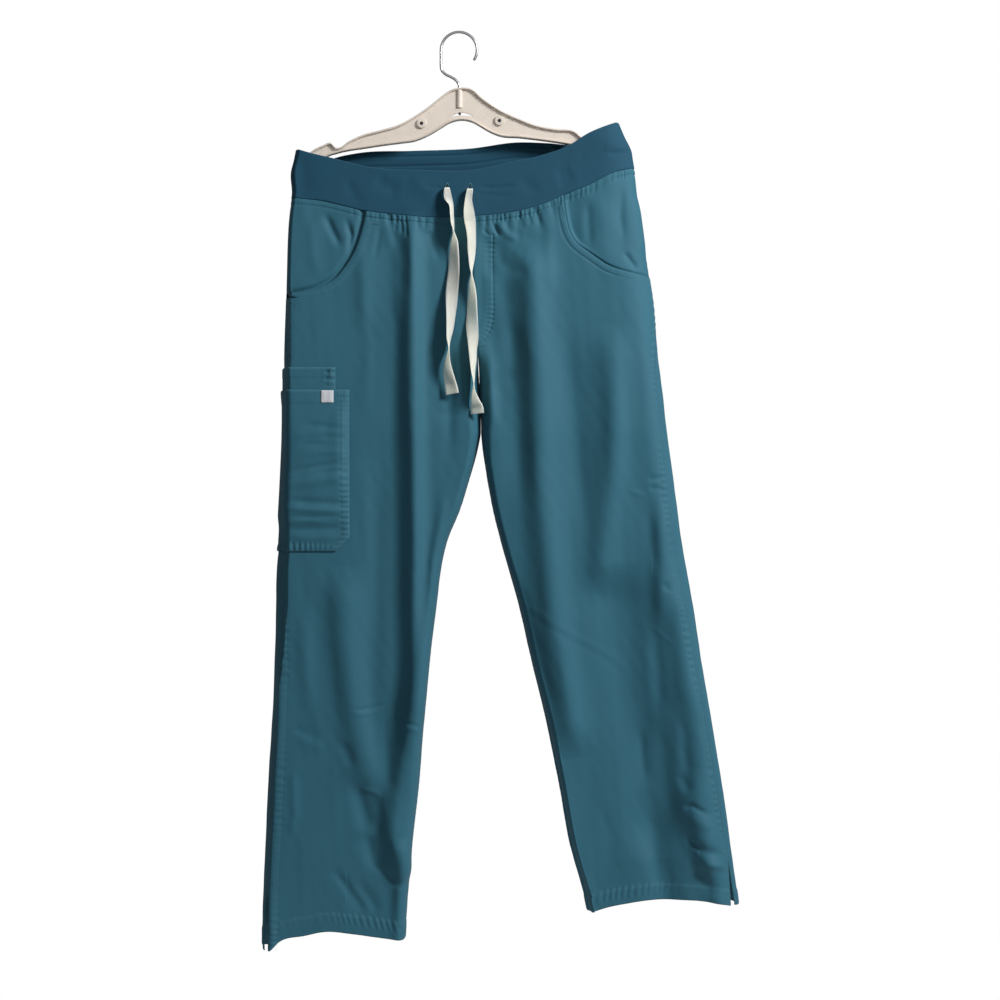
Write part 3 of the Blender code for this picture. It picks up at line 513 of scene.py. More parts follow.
FRONT_CREASES = crease_rows(
    # under the waist seam, right
    (-1.1, 2.4, 0, (395, 219), (396, 232)), (-1.2, 2.2, 0, (401, 219), (402, 234)),
    (-1.4, 2.4, 0, (406, 219), (407, 240)), (-1.7, 12, 0.2, (400, 226), (403, 250), (402, 300)),
    (1.0, 6, 0, (427, 221), (429, 234)), (-1.3, 5, 0, (429, 228), (434, 244), (440, 264)),
    (-0.9, 4, 0, (381, 222), (378, 240), (374, 262)), (0.8, 6, 0, (389, 222), (390, 250)),
    # under the waist seam, left
    (-1.0, 2.4, 0, (494, 215), (495, 224)), (-1.0, 2.4, 0, (499, 214), (500, 223)),
    (-2.6, 3, 0, (492, 221), (496, 229), (500, 237)), (2.2, 5, 0, (497, 221), (508, 235), (520, 241)),
    (-1.2, 2, 0, (482, 228), (489, 235), (497, 237)), (-2.4, 8, 0, (497, 238), (499, 252), (503, 270)),
    (-1.3, 8, 0, (503, 262), (513, 272), (530, 272)), (0.9, 8, 0, (512, 250), (521, 257), (532, 260)),
    (-1.6, 12, 0, (500, 262), (506, 310), (518, 360)), (-0.9, 3, 0, (521, 214), (523, 230)),
    (-0.9, 3, 0, (529, 213), (531, 226)), (-0.9, 3, 0, (538, 211), (540, 226)),
    (1.3, 9, 0, (549, 214), (549, 250), (551, 300)), (-1.0, 4, 0, (560, 206), (566, 222)),
    # the two upright valleys of the thighs
    (-1.5, 14, 0, (394, 310), (394, 500), (395, 700)), (-4.0, 16, 0, (510, 285), (516, 400), (522, 515)),
    (-4.2, 16, 0, (567, 320), (575, 430), (584, 540)), (2.0, 12, 0, (613, 360), (616, 430), (616, 500)),
    (-2.4, 8, 0, (511, 560), (524, 605), (539, 665), (556, 730)),
    # seat and thigh
    (0.9, 12, 0, (500, 300), (522, 330), (536, 372)), (-1.2, 9, 0, (483, 395), (500, 380), (520, 372)),
    (-1.0, 7, 0, (470, 400), (455, 412), (436, 418)), (0.9, 9, 0, (372, 330), (366, 380), (364, 420)),
    # left thigh, by the outseam
    (-1.3, 3.5, 0, (647, 479), (663, 478)), (-1.2, 3.5, 0, (648, 488), (664, 489)),
    (0.6, 2.6, 0, (626, 490), (636, 493), (648, 497)), (-1.8, 9, 0.2, (650, 500), (652, 540), (660, 580)),
    (-1.4, 4, 0, (663, 582), (669, 592)), (0.35, 4.5, 0, (512, 596), (557, 625), (603, 651), (633, 672)),
    (-0.25, 4.5, 0, (513, 603), (556, 632), (602, 658), (630, 678)),
    (0.35, 2.2, 0, (649, 625), (662, 635), (677, 648)), (-2.0, 9, 0, (654, 626), (659, 675), (661, 720)),
    (-1.6, 6, 0, (641, 728), (646, 788)), (-1.6, 8, 0, (684, 718), (686, 760), (690, 802)),
    (-1.2, 22, 0, (622, 630), (638, 720), (655, 850)),
    # left shin
    (-3.0, 14, 0, (664, 715), (668, 780), (672, 840)),
    (-7.0, 18, 0, (648, 790), (656, 850), (664, 885), (678, 960)),
    (6.0, 12, 0, (701, 800), (707, 850), (715, 885), (729, 945)),
    (-1.4, 6, 0, (678, 772), (684, 783), (691, 793)), (-2.4, 3.4, 0, (684, 808), (693, 805), (705, 814)),
    (1.4, 6, 0, (690, 815), (700, 822), (706, 830)), (-3.4, 5, 0.2, (686, 838), (700, 847), (719, 857)),
    (2.4, 4.5, 0, (703, 862), (724, 867)), (-3.2, 9, 0, (694, 868), (708, 882), (718, 898)),
    (-0.9, 8, 0, (600, 800), (612, 840), (610, 880)), (0.8, 9, 0, (640, 850), (650, 880), (662, 900)),
    # right knee and shin
    (-0.8, 6, 0.2, (290, 728), (304, 733), (321, 743)), (0.8, 8, 0, (292, 737), (308, 742), (324, 752)),
    (1.2, 9, 0, (303, 590), (305, 650), (309, 700), (319, 732)),
    (-1.1, 15, 0, (322, 585), (325, 640), (332, 690), (346, 740)),
    (1.3, 6, 0, (292, 766), (294, 812), (291, 845)), (-1.8, 8, 0, (339, 740), (348, 754), (352, 770)),
    (-1.0, 1.9, 0, (350, 710), (368, 709), (386, 704)), (0.6, 2.6, 0, (350, 715), (369, 714), (384, 711)),
    (-1.1, 2.0, 0, (394, 716), (406, 720), (418, 728)), (-0.9, 2.0, 0, (398, 687), (403, 698), (410, 711)),
    (0.6, 2.6, 0, (398, 722), (408, 727), (417, 733)), (-1.0, 6, 0, (393, 700), (398, 720), (402, 745)),
    (1.0, 3.5, 0, (358, 789), (370, 791), (383, 796)), (-3.6, 10, 0, (356, 780), (361, 806), (368, 836)),
    (3.6, 11, 0, (386, 780), (387, 808), (390, 846)), (-3.0, 10, 0, (364, 832), (370, 852), (380, 872)),
    (2.8, 9, 0, (394, 836), (400, 860), (407, 884)), (-2.2, 5, 0, (371, 862), (388, 877), (407, 890)),
    # the right leg's crests by the inseam, and troughs beside them
    (6.0, 8, 0, (446, 480), (441, 520), (433, 560), (425, 620), (418, 680), (412, 740), (408, 800)),
    (5.5, 8, 0, (425, 620), (418, 680), (412, 740), (408, 800), (403, 850), (399, 900), (396, 990)),
    (1.8, 6, 0, (416, 240), (417, 330), (417, 560), (414, 700)), (1.6, 8, 0, (399, 236), (398, 330)),
    (-2.6, 14, 0, (379, 380), (377, 560), (372, 700), (370, 800)),
    (-2.4, 8, 0, (450, 310), (451, 370), (449, 470)), (-1.8, 8, 0, (286, 240), (285, 340), (283, 450)),
    (-1.6, 8, 0, (282, 560), (280, 640), (278, 700)),
    # broad crests and troughs towards the left outseam
    (3.0, 13, 0, (636, 290), (644, 350), (650, 400), (656, 450), (662, 500), (668, 560)),
    (4.0, 13, 0, (655, 500), (668, 560), (680, 620), (690, 680), (700, 740), (706, 800), (709, 860)),
    (6.0, 45, 0, (684, 640), (692, 700), (698, 760), (704, 830), (712, 900), (722, 980)),
    (-6.0, 50, 0, (576, 620), (586, 740), (598, 850), (608, 980)),
    (-3.0, 12, 0, (489, 290), (494, 360), (503, 440)), (-3.4, 9, 0, (487, 232), (489, 254), (492, 280)),
    (-2.2, 7, 0.2, (331, 868), (346, 888), (369, 917)), (-1.6, 7, 0, (357, 880), (367, 896), (380, 916)),
    (0.9, 5, 0, (346, 876), (358, 896), (372, 914)),
)
BACK_CREASES = crease_rows(
    (-1.6, 9, 0, (340, 232), (346, 270), (350, 330)), (-1.4, 8, 0, (400, 225), (396, 262), (398, 320)),
    (-1.5, 8, 0, (520, 215), (530, 262), (532, 300)), (-1.6, 9, 0, (588, 205), (590, 250), (600, 310)),
    (-1.8, 7, 0.2, (470, 390), (440, 405), (410, 412)), (-1.6, 7, 0, (488, 392), (520, 405), (552, 410)),
    (1.3, 8, 0, (468, 405), (436, 424), (400, 436)), (1.2, 8, 0, (492, 406), (526, 422), (560, 430)),
    (-1.5, 6, 0, (300, 716), (330, 724), (362, 742)), (-1.3, 6, 0, (596, 690), (632, 704), (664, 726)),
    (-1.8, 6, 0, (330, 850), (350, 880), (372, 902)), (-1.6, 7, 0, (652, 812), (672, 838), (694, 856)),
    (1.2, 10, 0, (310, 560), (318, 640), (322, 720)), (1.1, 10, 0, (610, 560), (626, 640), (640, 700)),
)
CREASES = {FRONT: FRONT_CREASES, BACK: BACK_CREASES}

FACING_CREASES = crease_rows(
    (-3.0, 5, 0, (324, 212), (332, 230), (341, 248)), (-3.5, 4, 0, (346, 217), (351, 235), (351, 264)),
    (1.2, 7, 0, (310, 214), (312, 240), (314, 275)), (-1.6, 4, 0, (292, 292), (297, 302), (303, 312)),
    (-4.0, 17, 0, (570, 186), (571, 225), (575, 264)), (-2.4, 4, 0, (624, 251), (631, 260), (639, 270)),
    (-1.8, 6, 0, (588, 196), (589, 225), (591, 250)), (0.5, 9, 0, (602, 186), (602, 225), (605, 266)),
    (-2.4, 12, 0, (617, 180), (620, 225), (624, 268)), (2.4, 9, 0, (637, 190), (640, 225), (643, 262)),
    (-1.2, 5, 0, (624, 182), (622, 215), (626, 245)),
)
BAND_CREASES = crease_rows(
    (-1.5, 9, 0, (374, 178), (386, 185), (400, 191)), (-1.0, 12, 0, (556, 178), (574, 172)),
    (-1.4, 4, 0, (606, 153), (632, 149.5)), (1.0, 9, 0, (604, 146), (630, 142)),
    (-1.6, 11, 0, (300, 150), (302, 175), (304, 202)), (-1.0, 2.6, 0, (476, 187), (498, 187), (522, 185)),
    (-0.8, 2.6, 0, (476, 194), (500, 195), (516, 194)), (-0.8, 3, 0, (442, 187), (424, 186)),
    (-0.9, 8, 0, (520, 176), (540, 196)), (0.9, 10, 0, (410, 176), (440, 200)),
    (-0.9, 7, 0, (345, 178), (360, 206)),
)
POCKET_CREASES = crease_rows(
    (-2.0, 8, 0, (284, 370), (283, 460), (280, 560)), (1.5, 10, 0, (338, 400), (338, 450), (338, 500)),
    (-0.9, 4, 0, (300, 425), (322, 426), (350, 430)), (-0.7, 3, 0, (318, 438), (330, 437), (352, 438)),
    (0.9, 5, 0, (300, 455), (322, 452), (352, 452)), (-1.3, 4, 0, (284, 474), (310, 468), (352, 461)),
    (-0.8, 2.6, 0, (314, 473), (330, 472), (352, 469)), (1.4, 6, 0, (282, 486), (305, 483), (352, 476)),
    (-1.6, 5, 0, (282, 500), (309, 502), (332, 503), (354, 505)),
    (1.5, 4, 0, (282, 508), (314, 510), (352, 511)), (-0.8, 2.6, 0, (282, 516), (312, 517), (352, 516)),
    (1.0, 3.5, 0, (282, 523), (305, 521), (330, 522)), (-1.1, 4, 0, (284, 530), (320, 529), (350, 528)),
    (0.8, 4, 0, (284, 537), (312, 538), (346, 537)), (-0.6, 3, 0, (296, 447), (312, 444), (330, 444)),
    (0.6, 4, 0, (294, 437), (310, 434), (328, 432)),
)


CREASE_FADE = 0.35  # the share of a crease's length over which each end fades


def crease_height(creases, x, z):
    total = np.zeros(np.shape(x))
    for crease in creases:
        line = [spot(*point) for point in crease.spots]
        far, along, length = distance_to_line(x, z, line)
        reach = CREASE_FADE * length
        fade = ease(along / reach + 0.1) * ease((length - along) / reach + 0.1)
        middle = line[len(line) // 2]
        width = crease.half_width * (1 + crease.skew * np.sign(x - middle[0]))
        total += crease.height * bump(far / width) * fade
    return total


GATHER_COUNT = {"right": 21, "left": 23}
GATHER_SEED = {("right", FRONT): 11, ("left", FRONT): 12, ("right", BACK): 13, ("left", BACK): 14}


def gathers(side, face, share, drop):
    """Uneven gathers that the waist seam holds: valleys, each with its own depth, width, length and lean."""
    rng = np.random.default_rng(GATHER_SEED[side, face])
    count = GATHER_COUNT[side]
    wide = float(width_at(side, face, WAIST_Z))
    centres = (np.arange(count) + rng.uniform(0.2, 0.8, count)) / count * wide
    depths = rng.uniform(0.4, 2.3, count)
    halves = rng.uniform(1.8, 4.0, count)
    lengths = rng.uniform(10, 30, count) * (0.6 + depths / 1.4)
    leans = rng.uniform(-0.22, 0.22, count)
    lift = 0.5 * (1 - ease(drop / 40))
    for centre, depth, half, length, lean in zip(centres, depths, halves, lengths, leans):
        run = ease(drop / 5 + 0.4) * (1 - ease((drop - 3) / length))
        lift = lift - depth * bump((share * wide - centre - lean * drop) / (half + 0.06 * drop)) * run
    return lift


def ripples(x, z, seed, height):
    """A faint unevenness, mostly upright, as cloth has that was worn and pressed."""
    rng = np.random.default_rng(seed)
    total = np.zeros(np.shape(x))
    for wave in np.geomspace(16, 90, 9):
        lean = rng.normal(0, 0.35)
        phase = rng.uniform(0, 2 * math.pi, 3)
        patch = 0.5 + 0.5 * np.sin(x / (wave * 0.9) + phase[1]) * np.sin(z / (wave * 1.7) + phase[2])
        total += (wave / 90) ** 0.6 * patch * np.sin(2 * math.pi * (x + lean * z) / wave + phase[0])
    return height * total / 3


def sewn(d, t, width, height, rows, pucker, pitch, seed, dip=0.8, groove=0.45, from_d=0.0):
    """Relief of a sewn edge, at distance d from it and t along it."""
    lift = height * (1 - ease((d - width) / 1.6)) - dip * bump(d / 1.1)
    for row in rows:
        lift = lift - groove * bump((d - row) / 1.0)
    beat = t / pitch + 0.35 * np.sin(t / 23 + seed) + 0.2 * np.sin(t / 9.7 + 2 * seed)
    strength = 0.55 + 0.45 * np.sin(t / 31 + 3 * seed)
    window = ease((d - from_d) / 1.5) * (1 - ease((d - width) / 4))
    return lift + pucker * np.cos(2 * math.pi * beat) * strength * window


WAIST_ROW = 7.2
WAIST_TUCK = 2.4  # how far the panels reach up under the waistband
TUCK_DEPTH = 0.7
WAIST_PUCKER = {FRONT: 0.17, BACK: 0.4}
Pinch = namedtuple("Pinch", "column depth")
PINCHES = (  # narrow dents that the waist's stitches hold, at picture columns
    Pinch(353, 0.6), Pinch(360, 0.4), Pinch(388, 0.9), Pinch(391, 0.7), Pinch(396, 1.2), Pinch(401, 1.0),
    Pinch(406, 1.3), Pinch(425, 0.5), Pinch(492, 1.4), Pinch(496.5, 1.2), Pinch(500.5, 1.0), Pinch(504, 1.4),
    Pinch(509, 0.4), Pinch(515, 0.9), Pinch(519.5, 1.3), Pinch(524, 0.8), Pinch(529, 0.9), Pinch(533, 1.2),
    Pinch(537, 0.9), Pinch(541, 0.6), Pinch(560, 1.5), Pinch(566, 1.1), Pinch(569.5, 0.8), Pinch(575, 0.6),
    Pinch(580, 0.8), Pinch(585, 0.5), Pinch(590, 0.7), Pinch(595, 0.8), Pinch(603, 0.4), Pinch(612, 0.5),
    Pinch(618, 1.1), Pinch(621.5, 0.9), Pinch(625, 1.2), Pinch(629, 1.0),
)
PINCH_HALF = 1.5
SEAM_ROWS = (1.6, 10.4)
SEAM_INSET = {"right": 3.9, "left": 0.0}  # how much further in the outseam's rows run on the shin
CENTRE_ROW = 1.6
FLY_SPOTS = ((493, 232), (492.5, 260), (493, 290), (493, 312), (490.5, 328), (484, 340), (478, 345))
FLY_POINTS = 50
HEM_DEPTH = {"right": 24.0, "left": 20.0}
MOUTH_ROWS = (1.8, 8.6)
POCKET_ROWS = (1.6, 9.6)

# How far apart the puckers of a sewn edge are
WAIST_PITCH = 5.2
POCKET_PITCH = 7.2
EDGE_PITCH = 8.8
ROW_PITCH = 9.0
POCKET_HEM_PITCH = 11.0


def under_pocket(side, face, x, z):
    if side == "left":
        return 0.0
    edge = OUTER_POCKET.front_x if face == FRONT else OUTER_POCKET.back_x
    across = ease((edge + 10 - x) / 10)
    return across * ease((z - OUTER_POCKET.foot + 10) / 10) * ease((INNER_POCKET.top + 10 - z) / 10)


def waist_strip(face, x, t, drop):
    """Relief of the strip that is sewn down under the waistband, at t along it and drop below its seam."""
    pucker = WAIST_PUCKER[face]
    lift = sewn(drop, t, WAIST_ROW, 0.5, (WAIST_ROW,), pucker, WAIST_PITCH, 1, dip=0.3, groove=1.1)
    if face == FRONT:
        held = ease(drop / 1.5 + 0.3) * (1 - ease((drop - WAIST_ROW - 1) / 5))
        for pinch in PINCHES:
            lift = lift - pinch.depth * bump((x - spot(pinch.column, 0)[0]) / PINCH_HALF) * held
    return lift


def seam_inset(side, z):
    return SEAM_INSET[side] * ease((-740 - z) / 110)


@lru_cache(maxsize=None)
def fly_line():
    points = np.array([spot(*point) for point in FLY_SPOTS])
    t = np.linspace(0, len(points) - 1, FLY_POINTS)
    x, z = (smooth(t, range(len(points)), points[:, axis]) for axis in range(2))
    return tuple(zip(x.tolist(), z.tolist()))


def fly_relief(x, z):
    """The mock fly's row of stitches, with the short dents that it holds on its side towards the seam."""
    far, along, length = distance_to_line(x, z, fly_line())
    inside = x < np.interp(-z, [-point[1] for point in fly_line()], [point[0] for point in fly_line()])
    ladder = np.cos(2 * math.pi * (along / 6.4 + 0.3 * np.sin(along / 19)))
    ladder = ladder * (0.55 + 0.45 * np.sin(along / 17 + 1))
    held = ease(along / 6) * ease((length - along) / 6)
    return (0.55 * inside * ease(far / 1.5) * (1 - ease((far - 9) / 6)) - 0.9 * bump(far / 1.1)
            + 0.8 * ladder * np.where(inside, bump(far / 7), bump(far / 3))) * held


def relief(side, face, u, z):
    x, _ = surface(side, face, panel_share(side, face, u, z), z)
    run = run_at(side, face, u, z)
    wide = width_at(side, face, z)
    inner = wide - run
    drop = waist_z(side, face, u) - z
    rise = z - hem_z(side, face, u)
    lift = crease_height(CREASES[face], x, z) + ripples(x, z, 3 + face, 0.55)
    lift = lift + gathers(side, face, run / wide, drop)
    lift = lift * (1 - under_pocket(side, face, x, z))
    lift = lift * ease(inner / 6 + 0.15) * ease(run / 8 + 0.15)
    lift = lift + waist_strip(face, x, run, drop)
    if (side, face) == ("left", FRONT):
        lift = lift + fly_relief(x, z)
    lift = np.where(drop < 0, -TUCK_DEPTH * ease(-drop) + lift * (1 - ease(-drop)), lift)
    hem = HEM_DEPTH[side]
    lift = lift + sewn(rise, run + 0.3 * rise, hem, 0.6, (hem,), 0.42, EDGE_PITCH, 2 + face, from_d=hem - 13)
    lift = lift + sewn(inner, z, CENTRE_ROW + 1, 0.2, (CENTRE_ROW,), 0.12, ROW_PITCH, 5)
    if face == FRONT:
        below = ease((MOUTHS[side][-1].z + 10 - z) / 12)
        seam_run = run - seam_inset(side, z)
        lift = lift + below * sewn(seam_run, z, SEAM_ROWS[1], 0.45, SEAM_ROWS, 0.55, EDGE_PITCH, 7, dip=0.3)
        far, along, _ = distance_to_line(x, z, mouth_line(side))
        above = ease((z - MOUTHS[side][-1].z + 4) / 10)
        edge_lift = sewn(far, along, MOUTH_ROWS[1], 0.35, MOUTH_ROWS, 0.2, ROW_PITCH, 9, groove=0.25)
        lift = lift + above * edge_lift
        if side == "left":
            lift = lift - above * 0.7 * bump((far - MOUTH_ROWS[1]) / 1.2)
    else:
        lift = lift + sewn(run, z, CENTRE_ROW + 1, 0.1, (), 0.15, ROW_PITCH, 8)
    return lift


def cloth(side, face, u, z, lift=0.0):
    """Points of a panel's outer face, with the flap of the vent swung open."""
    s = panel_share(side, face, u, z)
    points = moved_out(side, face, s, z, relief(side, face, u, z) + lift)
    opened = np.clip((VENT_TOP[side] - z) / (VENT_TOP[side] - HEM_Z), 0, 1.2)
    if face == FRONT:
        near = (1 - np.clip(u / OUT_SHARE, 0, 1)) ** 2
        points[..., 0] += toward(side) * VENT_SHIFT[side] * opened * near
        points[..., 1] -= VENT_FLARE * opened * near
    else:
        near = 1 - ease(run_at(side, face, u, z) / VENT_BACK_RUN)
        points[..., 0] -= toward(side) * VENT_BACK_SHIFT[side] * np.clip(1.6 * opened, 0, 1) * near
        points[..., 1] += VENT_FLARE * opened * near
    return points


# ---------------------------------------------------------------- meshes

def finish_piece(obj, slot, *nodes):
    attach(obj, BODY)
    if nodes:
        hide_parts(*nodes)
    return obj


def mesh_object(name, vertices, faces, material, smooth_shade=True):
    """An object from arrays of vertices, in millimetres, and faces, with its normals turned outwards."""
    mesh = bpy.data.meshes.new(name)
    mesh.from_pydata((np.asarray(vertices, float) * MM).tolist(), [], faces)
    bm = bmesh.new()
    bm.from_mesh(mesh)
    if bm.calc_volume(signed=True) < 0:
        bmesh.ops.reverse_faces(bm, faces=bm.faces[:])
    bm.to_mesh(mesh)
    bm.free()
    if smooth_shade:
        mesh.shade_smooth()
    mesh.materials.append(material)
    obj = bpy.data.objects.new(name, mesh)
    bpy.context.scene.collection.objects.link(obj)
    return obj


def quads(index):
    """The four-sided faces of a grid of vertex numbers."""
    return np.stack([index[:-1, :-1], index[:-1, 1:], index[1:, 1:], index[1:, :-1]], axis=-1).reshape(-1, 4)


def border(grid):
    """What lies round a grid's edge, once around."""
    return np.concatenate([grid[0, :-1], grid[:-1, -1], grid[-1, :0:-1], grid[:0:-1, 0]])


def grid_wall(name, outer, inner, uv, worn, material, coarse=1):
    """A closed wall between two grids of points, with UVs in metres and the share of wear at each point.

    The inner grid keeps one row and one column in coarse, and the last ones.
    """
    rows, columns = outer.shape[:2]
    kept = np.zeros((rows, columns), bool)
    down, over = (np.unique(np.append(np.arange(0, count, coarse), count - 1)) for count in (rows, columns))
    kept[np.ix_(down, over)] = True
    index = np.arange(rows * columns).reshape(rows, columns)
    below = rows * columns + np.arange(len(down) * len(over)).reshape(len(down), len(over))
    loop, lower = border(index), border(below)
    after = np.roll(loop, -1)
    number = np.cumsum(border(kept)) - 1
    rim = np.stack([after, loop, lower[number]], axis=-1)
    turned = np.roll(border(kept), -1)
    rim_low = np.stack([after, lower[number], np.roll(lower, -1)[number]], axis=-1)[turned]
    faces = quads(index).tolist() + quads(below)[:, ::-1].tolist() + rim.tolist() + rim_low.tolist()
    vertices = np.concatenate([outer.reshape(-1, 3), inner[kept]])
    obj = mesh_object(name, vertices, faces, material)
    mesh = obj.data
    corner = np.zeros(len(mesh.loops), int)
    mesh.loops.foreach_get("vertex_index", corner)
    flat = np.concatenate([uv.reshape(-1, 2), uv[kept]]) * MM
    layer = mesh.uv_layers.new(name="weave")
    layer.data.foreach_set("uv", flat[corner].ravel())
    wear = mesh.attributes.new("worn", "FLOAT", "POINT")
    wear.data.foreach_set("value", np.concatenate([worn.ravel(), worn[kept]]).astype(np.float32))
    return obj


def grid_normals(points, like):
    """Unit normals of a grid of points, on the side of the direction like."""
    normal = np.cross(np.gradient(points, axis=0), np.gradient(points, axis=1))
    normal /= np.linalg.norm(normal, axis=-1, keepdims=True)
    return normal * np.sign((normal * like).sum(axis=-1).mean())


def out_direction(side, face, s, z):
    nx, ny = outward(side, face, s, z)
    return np.stack([nx, ny, 0 * nx], axis=-1)


EDGE_BLOCK = 14.0
INNER_BLOCK = 8.0
BLOCK_STEP = 1.1
PanelMesh = namedtuple("PanelMesh", "across upper lower")
PANEL_MESH = {FRONT: PanelMesh(1.3, 1.6, 2.3), BACK: PanelMesh(2.6, 2.4, 3.4)}
INNER_COARSE = 3
MOUTH_REACH = 150
PANEL_FOOT = 30
PANEL_WIDE = 215  # the run that the middle columns are spread over
PANEL_TALL = 780  # the height that the middle rows are spread over


def panel_rows(face):
    """Rows of a panel as (drop, share, rise): from the waist seam, in between, and from the hem."""
    size = PANEL_MESH[face]
    fine = np.concatenate([np.linspace(-WAIST_TUCK, 0, 4)[:-1], np.arange(0, 14, 0.9)])
    rows = [(drop, 0, 0) for drop in fine]
    rows += [(drop, 0, 0) for drop in np.arange(14, MOUTH_REACH, size.upper)]
    count = int(PANEL_TALL / size.lower)
    rows += [(MOUTH_REACH, share, PANEL_FOOT) for share in np.linspace(0, 1, count + 1)[:-1]]
    rows += [(0, 1, rise) for rise in np.linspace(PANEL_FOOT, 0, 21)]
    return np.array(rows, float)


def panel_piece(side, face, material):
    drop, share, rise = (value[:, None] for value in panel_rows(face).T)

    def height(u):
        return (1 - share) * (waist_z(side, face, u) - drop) + share * (hem_z(side, face, u) + rise)

    low, high = np.zeros(drop.shape), np.full(drop.shape, 0.9)
    if face == FRONT:
        for _ in range(HALVINGS):
            middle = (low + high) / 2
            z = height(middle)
            x = surface(side, face, panel_share(side, face, middle, z), z)[0]
            cut = (x * toward(side) < mouth_x(side, z) * toward(side)) & (z > MOUTHS[side][-1].z)
            low, high = np.where(cut, middle, low), np.where(cut, high, middle)
        start = np.where(high < 1e-6, 0, high)
    else:
        start = low
    z = height(start)
    first = run_at(side, face, start, z) / width_at(side, face, z)
    near = np.clip(0.6 / np.maximum(first, 1e-6), 1, 8)  # keeps the columns upright away from the mouth

    edge_steps = int(EDGE_BLOCK / BLOCK_STEP)
    inner_steps = int(INNER_BLOCK / BLOCK_STEP)
    middle_steps = int(PANEL_WIDE / PANEL_MESH[face].across)
    count = edge_steps + middle_steps + inner_steps + 1
    step = np.arange(count)
    edge = np.clip(step / edge_steps, 0, 1) * EDGE_BLOCK
    inside = np.clip((step - edge_steps - middle_steps) / inner_steps, 0, 1) * INNER_BLOCK
    middle = np.clip((step - edge_steps) / middle_steps, 0, 1)
    u = start + (1 - start) * step / (count - 1)
    for _ in range(5):
        z = height(u)
        wide = width_at(side, face, z)
        spread = 1 - (EDGE_BLOCK + INNER_BLOCK) / wide
        at = (edge + inside) / wide + spread * middle + first * (1 - middle) ** near
        u = u_at_run(side, face, at * wide, z)
    u[:, 0], u[:, -1] = start[:, 0], 1
    z = height(u)

    outer = cloth(side, face, u, z)
    normal = grid_normals(outer, out_direction(side, face, panel_share(side, face, u, z), z))
    inner = outer - normal * CLOTH
    run = run_at(side, face, u, z)
    uv = np.stack([run, z], axis=-1)
    rise_mm = z - hem_z(side, face, u)
    edge_mm = np.minimum(run - run[:, :1], rise_mm)
    worn = bump(edge_mm / 2.2) * 0.45 + bump(rise_mm / 2.2) * 0.5
    worn = worn + bump((rise_mm - HEM_DEPTH[side]) / 3) * 0.35
    worn = worn + bump((run - run[:, :1] - SEAM_ROWS[1]) / 2.5) * 0.35
    name = ("front_" if face == FRONT else "back_") + side
    obj = grid_wall(name + "_panel", outer, inner, uv, np.clip(worn, 0, 1), material, INNER_COARSE)
    return finish_piece(obj, "cloth", name)


def facing_end(side, z_row):
    mouth = MOUTHS[side]
    x = np.linspace(mouth[-1].x, mouth[0].x + toward(side) * 2 * FACING_OVERLAP, FACING_PROBES)
    z = np.full(x.shape, np.clip(z_row, mouth[-1].z - FACING_OVERLAP + 1, mouth[0].z - 2 * FACING_OVERLAP))
    far, _, _ = distance_to_line(x, z, [(point.x, point.z) for point in mouth])
    kept = x[(x * toward(side) < mouth_x(side, z) * toward(side)) | (far < FACING_OVERLAP)]
    return (kept * toward(side)).max() * toward(side)


FACING_MESH = (120, 100)
Rise = namedtuple("Rise", "start run")
# How far in from the mouth's edge the facing comes up from under it
FACING_RISE = {"right": Rise(2.5, 6.0), "left": Rise(0.4, 2.4)}
FACING_DIP = {"right": 2.0, "left": 0.0}


def facing_piece(side, material):
    mouth = MOUTHS[side]
    columns = np.linspace(0, 1, FACING_MESH[0] + 1)
    foot = mouth[-1].z - FACING_OVERLAP + 1
    start = float(edge_z(WAIST_SEAM[FRONT], (mouth[0].x + mouth[-1].x) / 2))
    outer, inner, runs = [], [], []
    for share in np.linspace(0, 1, FACING_MESH[1] + 1):
        z_row = start + (foot - start) * share
        first = float(seam_share(side, FRONT, z_row))
        end = float(share_of_x(side, FRONT, np.array(facing_end(side, z_row)), z_row))
        end = max(end, first + FACING_LEAST)
        s = first + (end - first) * columns
        top = waist_z(side, FRONT, (s - first) / (1 - first)) + WAIST_TUCK
        z = z_row + (top - start) * (1 - share)
        x, _ = surface(side, FRONT, s, z)
        far, along, _ = distance_to_line(x, z, mouth_line(side))
        into = np.where(x * toward(side) < mouth_x(side, z) * toward(side), far, -far)
        rise = FACING_RISE[side]
        sunk = FACING_SUNK + (FACING_UNDER - FACING_SUNK) * (1 - ease((into - rise.start) / rise.run))
        sunk = sunk + FACING_DIP[side] * bump((into - 3.5) / 4)
        drop = top - WAIST_TUCK - z
        open_part = ease((into - rise.start) / (rise.run + 3))
        lift = (crease_height(FACING_CREASES, x, z) + ripples(x, z, 21, 0.6)) * open_part - sunk
        lift = lift + waist_strip(FRONT, x, x, drop) * open_part
        lift = np.where(drop < 0, -TUCK_DEPTH * ease(-drop) + lift * (1 - ease(-drop)), lift)
        outer.append(moved_out(side, FRONT, s, z, lift))
        inner.append(moved_out(side, FRONT, s, z, lift - CLOTH))
        runs.append(np.stack([x, z], axis=-1))
    outer, inner = np.array(outer), np.array(inner)
    worn = np.zeros(outer.shape[:2])
    obj = grid_wall("pocket_facing_%s_cloth" % side, outer, inner, np.array(runs), worn, material)
    return finish_piece(obj, "cloth", "pocket_facing_" + side)


BAND_STEP = 2.4
BAND_HALF = 235
BAND_ROUND = 1.5
INNER_ROWS = (7.8, 20.0)  # sewn rows on the waistband's inner face, below its top edge


